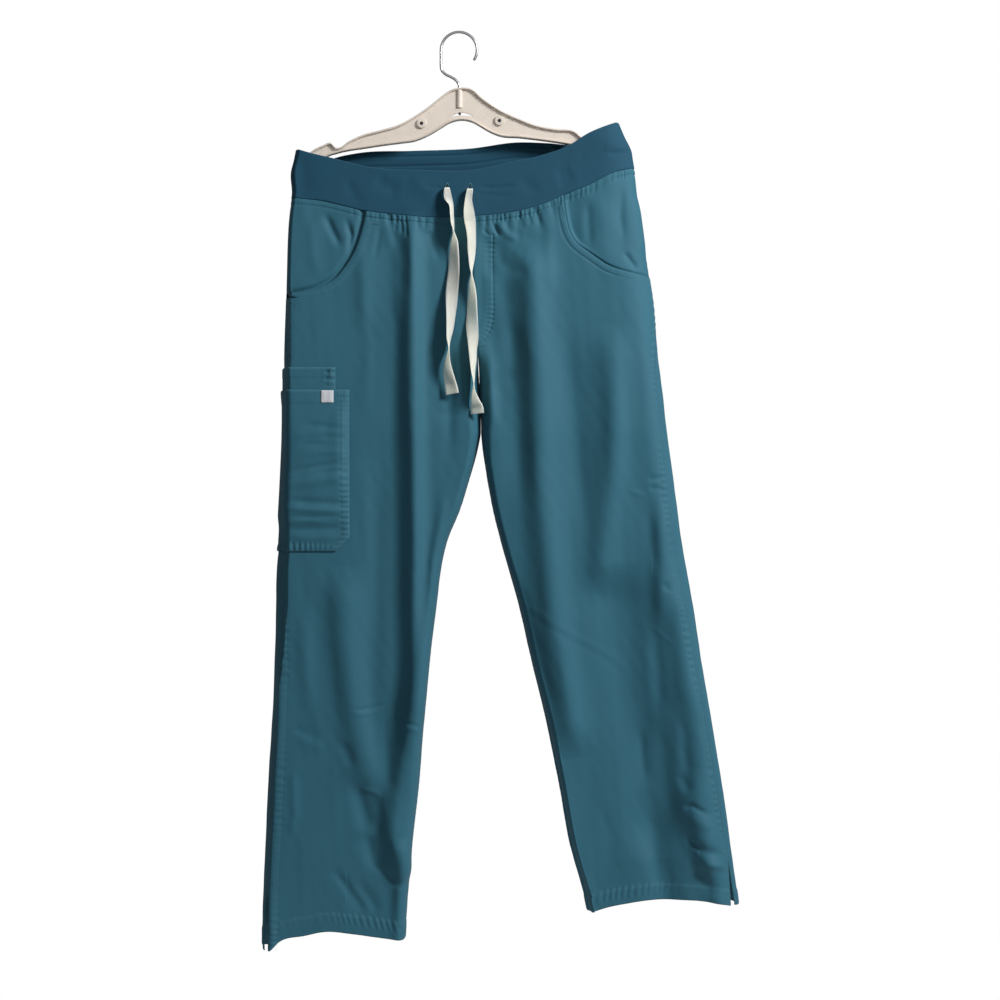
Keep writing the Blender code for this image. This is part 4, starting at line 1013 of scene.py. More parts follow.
def band_piece(face, material):
    half = np.linspace(0, 1, int(BAND_HALF / BAND_STEP) + 1)
    tight = BAND_ROUND * np.array([0, 0.08, 0.25, 0.5, 0.75, 1.0])
    outer, inner, uv = [], [], []
    shares = np.concatenate([np.linspace(0, 0.45, 27)[:-1], np.linspace(0.45, 1, 17)])
    for number in range(len(shares) + 2 * (len(tight) - 1)):
        upper, lower = [], []
        for side, u in (("right", half[:-1]), ("left", half[::-1])):
            waist = waist_z(side, face, u) + SEAM_GAP
            s = panel_share(side, face, u, WAIST_Z)
            x, _ = surface(side, face, s, np.full(u.shape, float(BAND_Z)))
            top = edge_z(BAND_TOP[face], x)
            inside = number - len(tight) + 1
            if inside < 0:
                z = top - tight[number]
            elif inside < len(shares):
                z = top - BAND_ROUND + (waist + BAND_ROUND - top + BAND_ROUND) * shares[inside]
            else:
                z = waist + tight[len(tight) - 2 - (inside - len(shares))]
            s = panel_share(side, face, u, z)
            x, _ = surface(side, face, s, z)
            edge = np.minimum(top - z, z - waist)
            in_round = np.clip(1 - edge / BAND_ROUND, 0, 1)
            pulled = (BAND_WALL / 2 - 0.15) * (1 - np.sqrt(1 - in_round**2))
            creases = BAND_CREASES if face == FRONT else ()
            lift = crease_height(creases, x, z) + ripples(x, z, 31 + face, 0.35)
            lift = lift * ease((top - z) / 12 + 0.25) * ease((z - waist) / 8 + 0.2)
            ridge = sum(bump((top - z - inner_row) / 1.4) for inner_row in INNER_ROWS)
            upper.append(moved_out(side, face, s, z, BAND_PROUD + lift - pulled))
            lower.append(moved_out(side, face, s, z, BAND_PROUD - BAND_WALL + lift + pulled + ridge))
        upper, lower = np.concatenate(upper), np.concatenate(lower)
        outer.append(upper)
        inner.append(lower)
        uv.append(np.stack([upper[:, 0], upper[:, 2]], axis=-1))
    outer, inner = np.array(outer), np.array(inner)
    name = "waistband_front" if face == FRONT else "waistband_back"
    worn = np.zeros(outer.shape[:2])
    worn[:5] = 0.8
    obj = grid_wall(name + "_knit", outer, inner, np.array(uv), worn, material)
    return finish_piece(obj, "band", name)


def pocket_shares(cut, z):
    mitre = cut.mitre * np.maximum(0.0, 1 - (z - cut.foot) / max(cut.mitre, 1))
    front = share_of_x("right", FRONT, cut.front_x - mitre, z)
    back = share_of_x("right", BACK, cut.back_x - mitre, z)
    return -back, front


def pocket_lay(cut, over, s, z):
    across = np.clip(s / pocket_shares(cut, z)[1], 0, 1)
    down = (cut.top - z) / (cut.top - cut.foot)
    belly = cut.belly * np.sin(np.pi * across) ** 0.8 * np.sin(math.pi * np.minimum(1, 0.12 + 0.88 * down))
    lay = cut.lay + belly
    if over:
        inner_low, inner_high = pocket_shares(over, np.maximum(z, over.foot))
        spread = 0.06
        covered = ease((s - inner_low + spread) / spread) * ease((inner_high + spread - s) / spread)
        lay = lay + POCKET_OVER * covered * ease((z - over.foot + 45) / 20)
    return lay


POCKET_HEM = {"cargo_pocket_inner": 14.0, "cargo_pocket_outer": 18.0}
POCKET_RUN = 330  # about how far the surface runs, in mm, for one unit of s on the pocket's front
SIDE_RUN = 175.0  # the same round the side's fold
FAR_OFF = 99  # more than any relief's reach, in mm


def pocket_relief(name, cut, s, z):
    """The pocket's own relief, at its share s and height z."""
    high = pocket_shares(cut, z)[1]
    x = surface("right", FRONT, s, z)[0]
    front_edge = np.where(high > OUT_SHARE, (high - np.maximum(s, OUT_SHARE)) * POCKET_RUN, FAR_OFF)
    front_edge = front_edge + np.maximum(OUT_SHARE - s, 0) * SIDE_RUN
    foot = z - cut.foot
    edge = np.minimum(front_edge, foot) if cut.mitre else front_edge
    t = np.where(front_edge < foot, z, x)
    lift = sewn(edge, t, POCKET_ROWS[1], 0.35, POCKET_ROWS, 0.7, POCKET_PITCH, 3)
    depth = POCKET_HEM[name]
    lift = lift + sewn(cut.top - z, x, depth, 0.4, (depth,), 0.15, POCKET_HEM_PITCH, 6)
    inside = ease(edge / 9) * ease((cut.top - z) / 16)
    creases = POCKET_CREASES if cut.mitre else ()
    return lift + (crease_height(creases, x, z) + ripples(x, z, 41, 0.5)) * inside


def pocket_points(name, cut, over, s, z, lift=0.0):
    lay = pocket_lay(cut, over, s, z) + CLOTH
    shape = pocket_relief(name, cut, s, z)
    if not cut.mitre:
        shape = shape * ease((z - OUTER_POCKET.top) / 10)
    return moved_out("right", FRONT, s, z, lay + shape * ease(lay / 2) + lift)


def pocket_piece(name, cut, over, material):
    columns = np.concatenate([
        np.linspace(0, 0.2, 13), np.linspace(0.2, 0.8, 41)[1:], np.linspace(0.8, 1, 61)[1:],
    ])
    z = cut.top + (cut.foot - cut.top) * np.linspace(0, 1, 111)
    z = np.repeat(z[:, None], len(columns), axis=1)
    low, high = pocket_shares(cut, z)
    knots = (low, np.full(z.shape, -OUT_SHARE), np.full(z.shape, OUT_SHARE), high)
    s = np.zeros(z.shape)
    for i, (a, b) in enumerate(((0, 0.2), (0.2, 0.8), (0.8, 1))):
        share = (columns - a) / (b - a)
        s = np.where((columns >= a - 1e-9), knots[i] + (knots[i + 1] - knots[i]) * np.clip(share, 0, 1), s)
    outer = pocket_points(name, cut, over, s, z)
    inner = outer - grid_normals(outer, out_direction("right", FRONT, s, z)) * CLOTH
    x = np.cumsum(np.linalg.norm(np.diff(outer, axis=1, prepend=outer[:, :1]), axis=-1), axis=1)
    worn = bump((z - cut.foot) / 3) * 0.7 + bump((cut.top - z) / 2.5) * 0.9
    worn[:, -8:] = np.maximum(worn[:, -8:], 0.6)
    obj = grid_wall(name + "_cloth", outer, inner, np.stack([x, z], axis=-1), np.clip(worn, 0, 1), material)
    return finish_piece(obj, "cloth", name)


def tag_piece(material):
    x_mid, z_mid = TAG_CENTRE
    z = np.linspace(z_mid + TAG_SIZE / 2, z_mid - TAG_SIZE / 2, TAG_POINTS)
    z = np.repeat(z[:, None], TAG_POINTS, axis=1)
    low = share_of_x("right", FRONT, x_mid - TAG_SIZE / 2, z)
    high = share_of_x("right", FRONT, x_mid + TAG_SIZE / 2, z)
    q = np.linspace(0, 1, TAG_POINTS)
    s = low + (high - low) * q
    to_edge = np.minimum(q, 1 - q)
    edge = np.minimum(to_edge[None, :], to_edge[:, None]) * TAG_SIZE
    base = pocket_points("cargo_pocket_outer", OUTER_POCKET, INNER_POCKET, s, z)
    out = out_direction("right", FRONT, s, z)
    lift = SEAM_GAP + TAG_WALL * np.sqrt(np.clip(edge / 1.2, 0.05, 1)) - 0.35 * bump((edge - 2) / 0.7)
    uv = np.stack([s * 1000, z], axis=-1)
    outer, inner = base + out * lift[..., None], base + out * SEAM_GAP * 0.3
    obj = grid_wall("pocket_tag_woven", outer, inner, uv, np.zeros(z.shape), material)
    return finish_piece(obj, "tag", "pocket_tag")


TAPE_RINGS = 190
TAPE_COLUMNS = 13
TAPE_HEM = 11.0
TAPE_WEAVE = 18.5  # how much of the weave lies across the tape, in mm


def tape_frame(route):
    """Even steps along a tape, with its centre line, the directions along and across it, and its width."""
    points = np.array([(row.x, row.y, row.z) for row in route], float)
    run = np.concatenate([[0], np.cumsum(np.linalg.norm(np.diff(points, axis=0), axis=1))])
    at = np.linspace(0, run[-1], TAPE_RINGS)
    path = np.stack([smooth(at, run, points[:, axis]) for axis in range(3)], axis=-1)
    width = smooth(at, run, column(route, "width"))
    turn = np.radians(smooth(at, run, column(route, "turn_deg")))[:, None]
    along = np.gradient(path, axis=0)
    along /= np.linalg.norm(along, axis=1)[:, None]
    flat = np.cross(along, (1.0, 0, 0))
    flat /= np.linalg.norm(flat, axis=1)[:, None]
    level = np.cross(flat, along)
    across = level * np.cos(turn) + flat * np.sin(turn)
    return at, path, along, across, width


def tape_piece(name, route, material):
    at, path, along, across, width = tape_frame(route)
    q = np.linspace(-0.5, 0.5, TAPE_COLUMNS)
    normal = np.cross(along, across)
    curl = 0.9 * np.sin(at / 31 + (1 if "left" in name else 0))[:, None] * (4 * q**2 - 0.33)
    middle = path[:, None] + q[None, :, None] * (width[:, None] * across)[:, None]
    middle = middle + normal[:, None] * curl[..., None]
    to_end = at[-1] - at
    hem = 0.55 * (1 - ease((to_end - TAPE_HEM) / 1.5)) - 0.45 * bump((to_end - TAPE_HEM + 1.6) / 0.8)
    round_edge = np.sqrt(np.clip(1 - (np.abs(q) * 2) ** 8, 0.06, 1))
    half = (TAPE_WALL / 2 * round_edge)[None, :] + hem[:, None] / 2
    outer = middle + normal[:, None] * half[..., None]
    inner = middle - normal[:, None] * half[..., None]
    weft = np.broadcast_to(q * TAPE_WEAVE, half.shape)
    warp = np.broadcast_to(at[:, None], half.shape)
    uv = np.stack([weft, warp], axis=-1)
    obj = grid_wall(name + "_tape", outer, inner, uv, np.zeros(half.shape), material)
    finish_piece(obj, "tape", name)


# ---------------------------------------------------------------- stitches

THREADS = {}
STITCH_PITCH = 3.3
STITCH_LENGTH = 2.5
STITCH_WIDTH = 0.42
STITCH_LIFT = 0.12  # how far the stitches' middles lie above the cloth
TACK_PITCH, TACK_WIDTH, TACK_ACROSS = 0.62, 0.5, 0.93
VENT_ROW = 3.6


def add_stitches(group, centres, along, normals, length, width):
    """Adds one small pointed stitch for each centre."""
    side = np.cross(normals, along)
    side /= np.linalg.norm(side, axis=1)[:, None]
    vertices = np.stack(
        [
            centres - along * length / 2, centres + side * width / 2, centres + normals * width / 2,
            centres - side * width / 2, centres - normals * width / 2, centres + along * length / 2,
        ],
        axis=1,
    )
    THREADS.setdefault(group, []).append(vertices.reshape(-1, 3))


def sew_line(
    group, points, normals, pitch=STITCH_PITCH, length=STITCH_LENGTH, width=STITCH_WIDTH, across=0.0
):
    """Stitches along a line of points; across turns each one over the line, as in a bartack."""
    steps = np.linalg.norm(np.diff(points, axis=0), axis=1)
    run = np.concatenate([[0], np.cumsum(steps)])
    at = np.arange(pitch / 2, run[-1], pitch)
    if len(at) == 0:
        return

    def place(values):
        return np.stack([np.interp(at, run, values[:, axis]) for axis in range(3)], axis=-1)

    centres = place(points)
    tangents = place(np.gradient(points, axis=0))
    tangents /= np.linalg.norm(tangents, axis=1)[:, None]
    normal = place(normals)
    normal /= np.linalg.norm(normal, axis=1)[:, None]
    if across:
        tangents = np.cross(normal, tangents) * across + tangents * (1 - abs(across))
        tangents /= np.linalg.norm(tangents, axis=1)[:, None]
    add_stitches(group, centres, tangents, normal, length, width)


def sew_cloth(group, side, face, u, z, **how):
    s = panel_share(side, face, u, z)
    sew_line(group, cloth(side, face, u, z, STITCH_LIFT), out_direction(side, face, s, z), **how)


def u_of_x(side, face, x, z):
    start = seam_share(side, face, z)
    return (share_of_x(side, face, x, z) - start) / (1 - start)


def offset_line(line, distance):
    """A line moved sideways by a distance, to the left of its own direction where that is above 0."""
    line = np.asarray(line, float)
    way = np.gradient(line, axis=0)
    way /= np.linalg.norm(way, axis=1)[:, None]
    return line + np.stack([-way[:, 1], way[:, 0]], axis=-1) * distance


def bartack(group, side, face, a, b, width=2.2):
    """A short dense bar of stitches between two spots."""
    (ax, az), (bx, bz) = spot(*a), spot(*b)
    x, z = np.linspace(ax, bx, 12), np.linspace(az, bz, 12)
    u = np.clip(u_of_x(side, face, x, z), 0.002, 1)
    sew_cloth(group, side, face, u, z, pitch=TACK_PITCH, length=width, width=TACK_WIDTH, across=TACK_ACROSS)


def sew_everything():
    for side in SIDES:
        for face in (FRONT, BACK):
            wall_name = "front" if face == FRONT else "back"
            u = np.linspace(0.004, 0.996, 160)
            if face == FRONT:
                z = waist_z(side, face, u) - WAIST_ROW
                x = surface(side, face, panel_share(side, face, u, z), z)[0]
                u = u[x * toward(side) > mouth_x(side, z) * toward(side) + 2]
            sew_cloth("stitching_waist_" + wall_name, side, face, u, waist_z(side, face, u) - WAIST_ROW)
            u = np.linspace(0.002, 0.998, 160)
            sew_cloth("stitching_hems", side, face, u, hem_z(side, face, u) + HEM_DEPTH[side])
            z = np.linspace(-256, -468, 120)
            u = u_at_run(side, face, width_at(side, face, z) - CENTRE_ROW, z)
            sew_cloth("stitching_centre_" + wall_name, side, face, u, z)
        foot = float(hem_z(side, FRONT, 0.0)) + 2
        z = np.linspace(MOUTHS[side][-1].z + (3 if side == "right" else -2), foot, 300)
        for row in SEAM_ROWS:
            u = u_at_run(side, FRONT, row + seam_inset(side, z), z)
            sew_cloth("stitching_outseams", side, FRONT, u, z)
        line = np.array(mouth_line(side))
        for row in MOUTH_ROWS:
            moved = offset_line(line, row * toward(side))
            inside = surface(side, FRONT, np.full(len(moved), 0.02), moved[:, 1])[0] * toward(side)
            kept = (moved[:, 0] * toward(side) > inside + 2) & (moved[:, 1] < MOUTHS[side][0].z - 8)
            x, z = moved[kept, 0], moved[kept, 1]
            u = u_of_x(side, FRONT, x, z)
            above = waist_z(side, FRONT, np.clip(u, 0, 1)) - 1 > z
            sew_cloth("stitching_mouths", side, FRONT, np.clip(u, 0.003, 1)[above], z[above])
    x, z = np.array(fly_line()).T
    sew_cloth("stitching_fly", "left", FRONT, u_of_x("left", FRONT, x, z), z)
    tacks = (
        ("left", FRONT, (479, 346), (486, 346)), ("right", FRONT, (288, 299), (297, 306)),
        ("right", FRONT, (370, 223.5), (380, 223.5)), ("right", FRONT, (271, 881), (279, 886)),
        ("left", FRONT, (715, 851), (722, 854)),
    )
    for side, face, a, b in tacks:
        bartack("stitching_bartacks", side, face, a, b)
    sew_pocket("cargo_pocket_inner", INNER_POCKET, None)
    sew_pocket("cargo_pocket_outer", OUTER_POCKET, INNER_POCKET)
    sew_vents()


def sew_pocket(name, cut, over):
    def sew(s, z, **how):
        points = pocket_points(name, cut, over, s, z, STITCH_LIFT)
        sew_line("stitching_" + name, points, out_direction("right", FRONT, s, z), **how)

    z = np.full(120, cut.top - POCKET_HEM[name])
    low, high = pocket_shares(cut, z)
    if cut.mitre:
        sew(low + (high - low) * np.linspace(0.01, 0.97, 120), z)
    foot = cut.foot if cut.mitre else OUTER_POCKET.top
    for row in POCKET_ROWS:
        z = np.linspace(cut.top - 2, foot + row if cut.mitre else foot + 2, 160)
        high = pocket_shares(cut, z)[1]
        sew(high - row / POCKET_RUN, z)
        if cut.mitre:
            z = np.full(120, foot + row)
            low, high = pocket_shares(cut, z)
            sew(low + (high - row / POCKET_RUN - low) * np.linspace(0.02, 1, 120), z)
    z = np.linspace(cut.top - 2, cut.top - 12, 10)
    s = pocket_shares(cut, z)[1] - 0.5 * sum(POCKET_ROWS) / POCKET_RUN
    sew(s, z, pitch=TACK_PITCH, length=4, width=TACK_WIDTH, across=TACK_ACROSS)


def sew_vents():
    for side in SIDES:
        z = np.linspace(VENT_TOP[side] + 4, float(hem_z(side, FRONT, 0.0)) + 1, 60)
        for face in (FRONT, BACK):
            sew_cloth("stitching_vents", side, face, u_at_run(side, face, VENT_ROW, z), z)


def stitch_pieces(material):
    for name, blocks in THREADS.items():
        vertices = np.concatenate(blocks)
        base = np.arange(0, len(vertices), 6)[:, None, None]
        pattern = np.array([
            (0, 1, 2), (0, 2, 3), (0, 3, 4), (0, 4, 1), (5, 2, 1), (5, 3, 2), (5, 4, 3), (5, 1, 4),
        ])
        obj = mesh_object(name, vertices, (base + pattern[None]).reshape(-1, 3).tolist(), material)
        finish_piece(obj, "cloth")


# ---------------------------------------------------------------- buttonholes

BUTTONHOLES = ((-14.9, -203.0), (14.6, -203.4))
HOLE_LENGTH = 8.5


def band_front_point(x, z, lift):
    side = "right" if x < 8 else "left"
    s = share_of_x(side, FRONT, np.array(float(x)), float(z))
    point = moved_out(side, FRONT, s, np.array(float(z)), BAND_PROUD + lift)
    return point, out_direction(side, FRONT, s, np.array(float(z)))


def prism_faces(count):
    """The faces between two loops of count vertices each, with both ends closed."""
    faces = [list(range(count)), list(range(2 * count - 1, count - 1, -1))]
    return faces + [[i, i + count, (i + 1) % count + count, (i + 1) % count] for i in range(count)]


def buttonhole_pieces(thread, dark):
    for number, (x, z) in enumerate(BUTTONHOLES):
        ring, shade_outline = [], []
        centre, normal = band_front_point(x, z, 0.1)
        up, level = np.array([0, 0, 1.0]), np.cross(normal, (0, 0, 1.0))
        turns = np.linspace(0, 2 * math.pi, 41)[:-1]
        for turn in turns:
            arm = math.copysign(max(abs(math.sin(turn)) ** 0.6, 1e-6), math.sin(turn))
            place = centre + up * (arm * HOLE_LENGTH / 2) + level * (math.cos(turn) * 1.9)
            way = up * arm * 0.6 + level * math.cos(turn)
            ring.append((place, way / np.linalg.norm(way)))
            rim = centre + up * (arm * (HOLE_LENGTH / 2 - 1)) + level * (math.cos(turn) * 0.9)
            shade_outline.append(rim + normal * 0.16)
        add_stitches(
            "stitching_buttonholes",
            np.array([place for place, _ in ring]) + normal * 0.05,
            np.array([way for _, way in ring]),
            np.repeat(normal[None], len(ring), axis=0),
            2.2,
            0.6,
        )
        # The slit is drawn as a thin near-black solid just over the band: painted shade of the hole's inside,
        # which the tape comes out of.
        shade_outline = np.array(shade_outline)
        vertices = np.concatenate([shade_outline, shade_outline - normal * 0.4])
        faces = prism_faces(len(shade_outline))
        obj = mesh_object("buttonhole_shade_%d" % (number + 1), vertices, faces, dark, smooth_shade=False)
        finish_piece(obj, "band")


# ---------------------------------------------------------------- hanger

ARCH_STATIONS = 150
BOSSES = ((-48.4, -117.5, 6.4), (52.7, -114.0, 6.4))
RIVETS = ((-48.4, -117.5, 2.3), (52.7, -114.0, 2.3), (0.9, -104.5, 1.7))
CRESCENT = (3.9, -109.5, 15.5, 5.5)


def loft(name, rings, material):
    rings = np.array(rings)
    count, sides = rings.shape[:2]
    index = np.arange(count * sides).reshape(count, sides)
    a, b = index[:-1], np.roll(index, -1, axis=1)[:-1]
    c, d = np.roll(index, -1, axis=1)[1:], index[1:]
    faces = np.stack([a, b, c, d], axis=-1).reshape(-1, 4).tolist()
    faces += [index[0, ::-1].tolist(), index[-1].tolist()]
    return mesh_object(name, rings.reshape(-1, 3), faces, material)


def rod_y(name, x, z, radius, y_low, y_high, material, sides=28, round_mm=0.0):
    """A round bar along Y, with rounded ends where round_mm is above 0."""
    turns = np.linspace(0, 2 * math.pi, sides + 1)[:-1]
    stations = [(y_low, radius), (y_high, radius)]
    if round_mm:
        quarter = np.radians(np.linspace(0, 90, 5))
        arc = [(round_mm * (1 - math.sin(q)), radius - round_mm * (1 - math.cos(q))) for q in quarter]
        stations = [(y_low + step, r) for step, r in arc[::-1]] + [(y_high - step, r) for step, r in arc]
    rings = [[(x + r * math.cos(t), y, z + r * math.sin(t)) for t in turns] for y, r in stations]
    return loft(name, rings, material)


def use_boolean(target, tool, operation):
    """Applies a Boolean to the target's mesh and removes the tool."""
    modifier = target.modifiers.new("cut", "BOOLEAN")
    modifier.object = tool
    modifier.operation = operation
    modifier.solver = "EXACT"
    bpy.context.view_layer.update()
    result = bpy.data.meshes.new_from_object(target.evaluated_get(bpy.context.evaluated_depsgraph_get()))
    target.modifiers.clear()
    target.data = result
    bpy.data.objects.remove(tool, do_unlink=True)


def hanger_pieces(clear, steel, dark):
    x = smooth(np.linspace(0, len(ARCH) - 1, ARCH_STATIONS), range(len(ARCH)), column(ARCH, "x"))
    rings = []
    for station in x:
        top = float(smooth(station, column(ARCH, "x"), column(ARCH, "top")))
        bottom = float(smooth(station, column(ARCH, "x"), column(ARCH, "bottom")))
        to_tip = min(station - ARCH[0].x, ARCH[-1].x - station)
        half = TIP_HALF + (HANGER_HALF - TIP_HALF) * float(ease(to_tip / TIP_RUN))
        flange = min(FLANGE, 0.36 * (top - bottom))
        web = min(WEB_HALF, half * 0.6)
        soft = min(0.8, flange * 0.3)
        right = [
            (half - soft, top), (half, top - soft), (half, top - flange + soft), (half - soft, top - flange),
            (web + soft, top - flange), (web, top - flange - soft), (web, bottom + flange + soft),
            (web + soft, bottom + flange), (half - soft, bottom + flange), (half, bottom + flange - soft),
            (half, bottom + soft), (half - soft, bottom),
        ]
        profile = right + [(-y, z) for y, z in right[::-1]]
        rings.append([(station, y, z) for y, z in profile])
    body = loft("hanger_arch", rings, clear)
    top = float(smooth(SHANK_X, column(ARCH, "x"), column(ARCH, "top")))
    for name, radius, high, low, operation in (
        ("hanger_sleeve", SLEEVE_RADIUS, top - 1, SLEEVE_FOOT, "UNION"),
        ("hanger_bore", BORE_RADIUS, top + 10, BORE_FOOT, "DIFFERENCE"),
    ):
        turns = np.linspace(0, 2 * math.pi, 33)[:-1]
        circle = [(SHANK_X + radius * math.cos(t), radius * math.sin(t)) for t in turns]
        ring = [[(px, y, z) for px, y in circle] for z in (low, high)]
        use_boolean(body, loft(name, ring, clear), operation)
    for number, (bx, bz, radius) in enumerate(BOSSES):
        use_boolean(body, rod_y("boss_%d" % number, bx, bz, radius, -4.2, 4.2, clear, round_mm=0.8), "UNION")
    cx, cz, reach, thick = CRESCENT
    turns = np.radians(np.linspace(18, 162, 17))
    upper = [(cx + reach * math.cos(t), cz + 9.0 * (math.sin(t) - 0.3)) for t in turns]
    lower = [(cx + reach * math.cos(t), cz + (9.0 - thick) * (math.sin(t) - 0.3)) for t in turns[::-1]]
    outline = upper + lower[1:-1]
    rings = [[(px, y, pz) for px, pz in outline] for y in (-9, 9)]
    use_boolean(body, loft("crescent", rings, clear), "DIFFERENCE")
    body.data.shade_smooth()
    body.data.set_sharp_from_angle(angle=math.radians(38))
    body.data.materials.clear()
    body.data.materials.append(clear)
    finish_piece(body, "clear", "hanger_body")
    for number, (rx, rz, radius) in enumerate(RIVETS):
        depth = 4.9 if radius > 2 else 2.3
        rivet = rod_y(
            "hanger_rivet_%d" % (number + 1), rx, rz, radius, -depth, depth, dark, sides=20, round_mm=0.9
        )
        finish_piece(rivet, "wire")

    points = [(SHANK_X, SHANK_FOOT)] + [(px, pz) for pz, px in SHANK[::-1]] + [(-HOOK_RADIUS, -32)]
    centre = WIRE_RADIUS - HOOK_RADIUS
    for degrees in np.linspace(0, HOOK_SWEEP, 25):
        angle = math.pi - math.radians(degrees)
        points.append((HOOK_RADIUS * math.cos(angle), centre + HOOK_RADIUS * math.sin(angle)))
    points = np.array(points)
    run = np.concatenate([[0], np.cumsum(np.linalg.norm(np.diff(points, axis=0), axis=1))])
    at = np.linspace(0, run[-1], 150)
    line = np.stack([smooth(at, run, points[:, 0]), smooth(at, run, points[:, 1])], axis=-1)
    way = np.gradient(line, axis=0)
    way /= np.linalg.norm(way, axis=1)[:, None]
    turns = np.linspace(0, 2 * math.pi, 17)[:-1]
    rings = []
    for number, ((px, pz), (wx, wz)) in enumerate(zip(line, way)):
        to_end = run[-1] - at[number]
        radius = WIRE_RADIUS * math.sqrt(min(1, 0.35 + to_end / 2.2))
        rings.append([
            (px - wz * radius * math.cos(t), radius * math.sin(t), pz + wx * radius * math.cos(t))
            for t in turns
        ])
    hook = loft("hanger_hook_wire", rings, steel)
    finish_piece(hook, "wire", "hanger_hook")


# ---------------------------------------------------------------- materials

def new_material(name):
    material = bpy.data.materials.new(name)
    material.use_nodes = True
    tree = material.node_tree
    return material, tree.nodes, tree.links, tree.nodes["Principled BSDF"]


def node(nodes, kind, **settings):
    made = nodes.new(kind)
    for key, value in settings.items():
        if key.startswith("in_"):
            made.inputs[key[3:].replace("_", " ")].default_value = value
        else:
            setattr(made, key, value)
    return made


def maths(nodes, links, operation, a, b):
    made = nodes.new("ShaderNodeMath")
    made.operation = operation
    for socket, value in zip(made.inputs, (a, b)):
        if isinstance(value, (int, float)):
            socket.default_value = value
        else:
            links.new(value, socket)
    return made.outputs[0]


def cloth_material(
    name, base, light, deep, roughness, weave, weave_size, bump_height, sheen, mottle, space="UV", **extra
):
    """A woven or knitted cloth: threads, slubs, faint uneven dye and paler worn edges."""
    material, nodes, links, shader = new_material(name)
    coords = nodes.new("ShaderNodeTexCoord")
    uv = coords.outputs[space]
    scale = 0.314 / (weave_size * MM)
    first = node(nodes, "ShaderNodeTexWave", in_Scale=scale, in_Distortion=0.6, in_Detail=1.0)
    second = node(nodes, "ShaderNodeTexWave", in_Scale=scale, in_Distortion=0.6, in_Detail=1.0)
    if weave == "twill":
        first.bands_direction = "DIAGONAL"
        first.inputs["Scale"].default_value = scale * 1.41
        second.bands_direction = "X"
        second.inputs["Scale"].default_value = scale * 1.9
    elif weave == "rib":
        first.bands_direction = "X"
        second.bands_direction = "Y"
        second.inputs["Scale"].default_value = scale * 0.6
    else:
        first.bands_direction = "DIAGONAL"
        first.inputs["Scale"].default_value = scale * 1.41
        second.bands_direction = "Y"
        second.inputs["Scale"].default_value = scale * 0.5
    for wave in (first, second):
        links.new(uv, wave.inputs["Vector"])
    slub = node(nodes, "ShaderNodeTexNoise", in_Scale=900.0, in_Detail=2.0)
    fleck = node(nodes, "ShaderNodeTexNoise", in_Scale=330.0, in_Detail=3.0, in_Roughness=0.65)
    links.new(uv, fleck.inputs["Vector"])
    cloud = node(nodes, "ShaderNodeTexNoise", in_Scale=9.0, in_Detail=3.0, in_Roughness=0.6)
    links.new(uv, slub.inputs["Vector"])
    links.new(coords.outputs["Object"], cloud.inputs["Vector"])
    threads = maths(nodes, links, "ADD", maths(nodes, links, "MULTIPLY", first.outputs["Fac"], 0.65),
                    maths(nodes, links, "MULTIPLY", second.outputs["Fac"], 0.35))
    height = maths(nodes, links, "ADD", threads, maths(nodes, links, "MULTIPLY", slub.outputs["Fac"], 0.5))
    dye = maths(nodes, links, "ADD", maths(nodes, links, "MULTIPLY", cloud.outputs["Fac"], 0.6 * mottle),
                maths(nodes, links, "MULTIPLY", height, 0.22))
    dye = maths(nodes, links, "ADD", dye, maths(nodes, links, "MULTIPLY", fleck.outputs["Fac"], 0.4 * mottle))
    ramp = nodes.new("ShaderNodeValToRGB")
    ramp.color_ramp.elements[0].position, ramp.color_ramp.elements[1].position = 0.12, 0.95
    ramp.color_ramp.elements[0].color = (*deep, 1)
    ramp.color_ramp.elements[1].color = (*base, 1)
    links.new(dye, ramp.inputs["Fac"])
    wear = node(nodes, "ShaderNodeAttribute", attribute_name="worn")
    patch = node(nodes, "ShaderNodeTexNoise", in_Scale=140.0, in_Detail=2.0)
    links.new(coords.outputs["Object"], patch.inputs["Vector"])
    patchy = maths(nodes, links, "MULTIPLY", patch.outputs["Fac"], 0.5)
    amount = maths(nodes, links, "MULTIPLY", wear.outputs["Fac"], patchy)
    mix = node(nodes, "ShaderNodeMix", data_type="RGBA")
    links.new(amount, mix.inputs["Factor"])
    links.new(ramp.outputs["Color"], mix.inputs["A"])
    mix.inputs["B"].default_value = (*light, 1)
    links.new(mix.outputs["Result"], shader.inputs["Base Color"])
    uneven = maths(nodes, links, "MULTIPLY", cloud.outputs["Fac"], 0.12)
    rough = maths(nodes, links, "ADD", uneven, roughness - 0.06)
    links.new(rough, shader.inputs["Roughness"])
    shader.inputs["Sheen Weight"].default_value = sheen
    shader.inputs["Sheen Roughness"].default_value = 0.45
    shader.inputs["Specular IOR Level"].default_value = 0.22
    for key, value in extra.items():
        shader.inputs[key.replace("_", " ")].default_value = value
    relief_node = node(nodes, "ShaderNodeBump", in_Strength=0.5, in_Distance=bump_height * MM)
    links.new(height, relief_node.inputs["Height"])
    links.new(relief_node.outputs["Normal"], shader.inputs["Normal"])
    return material


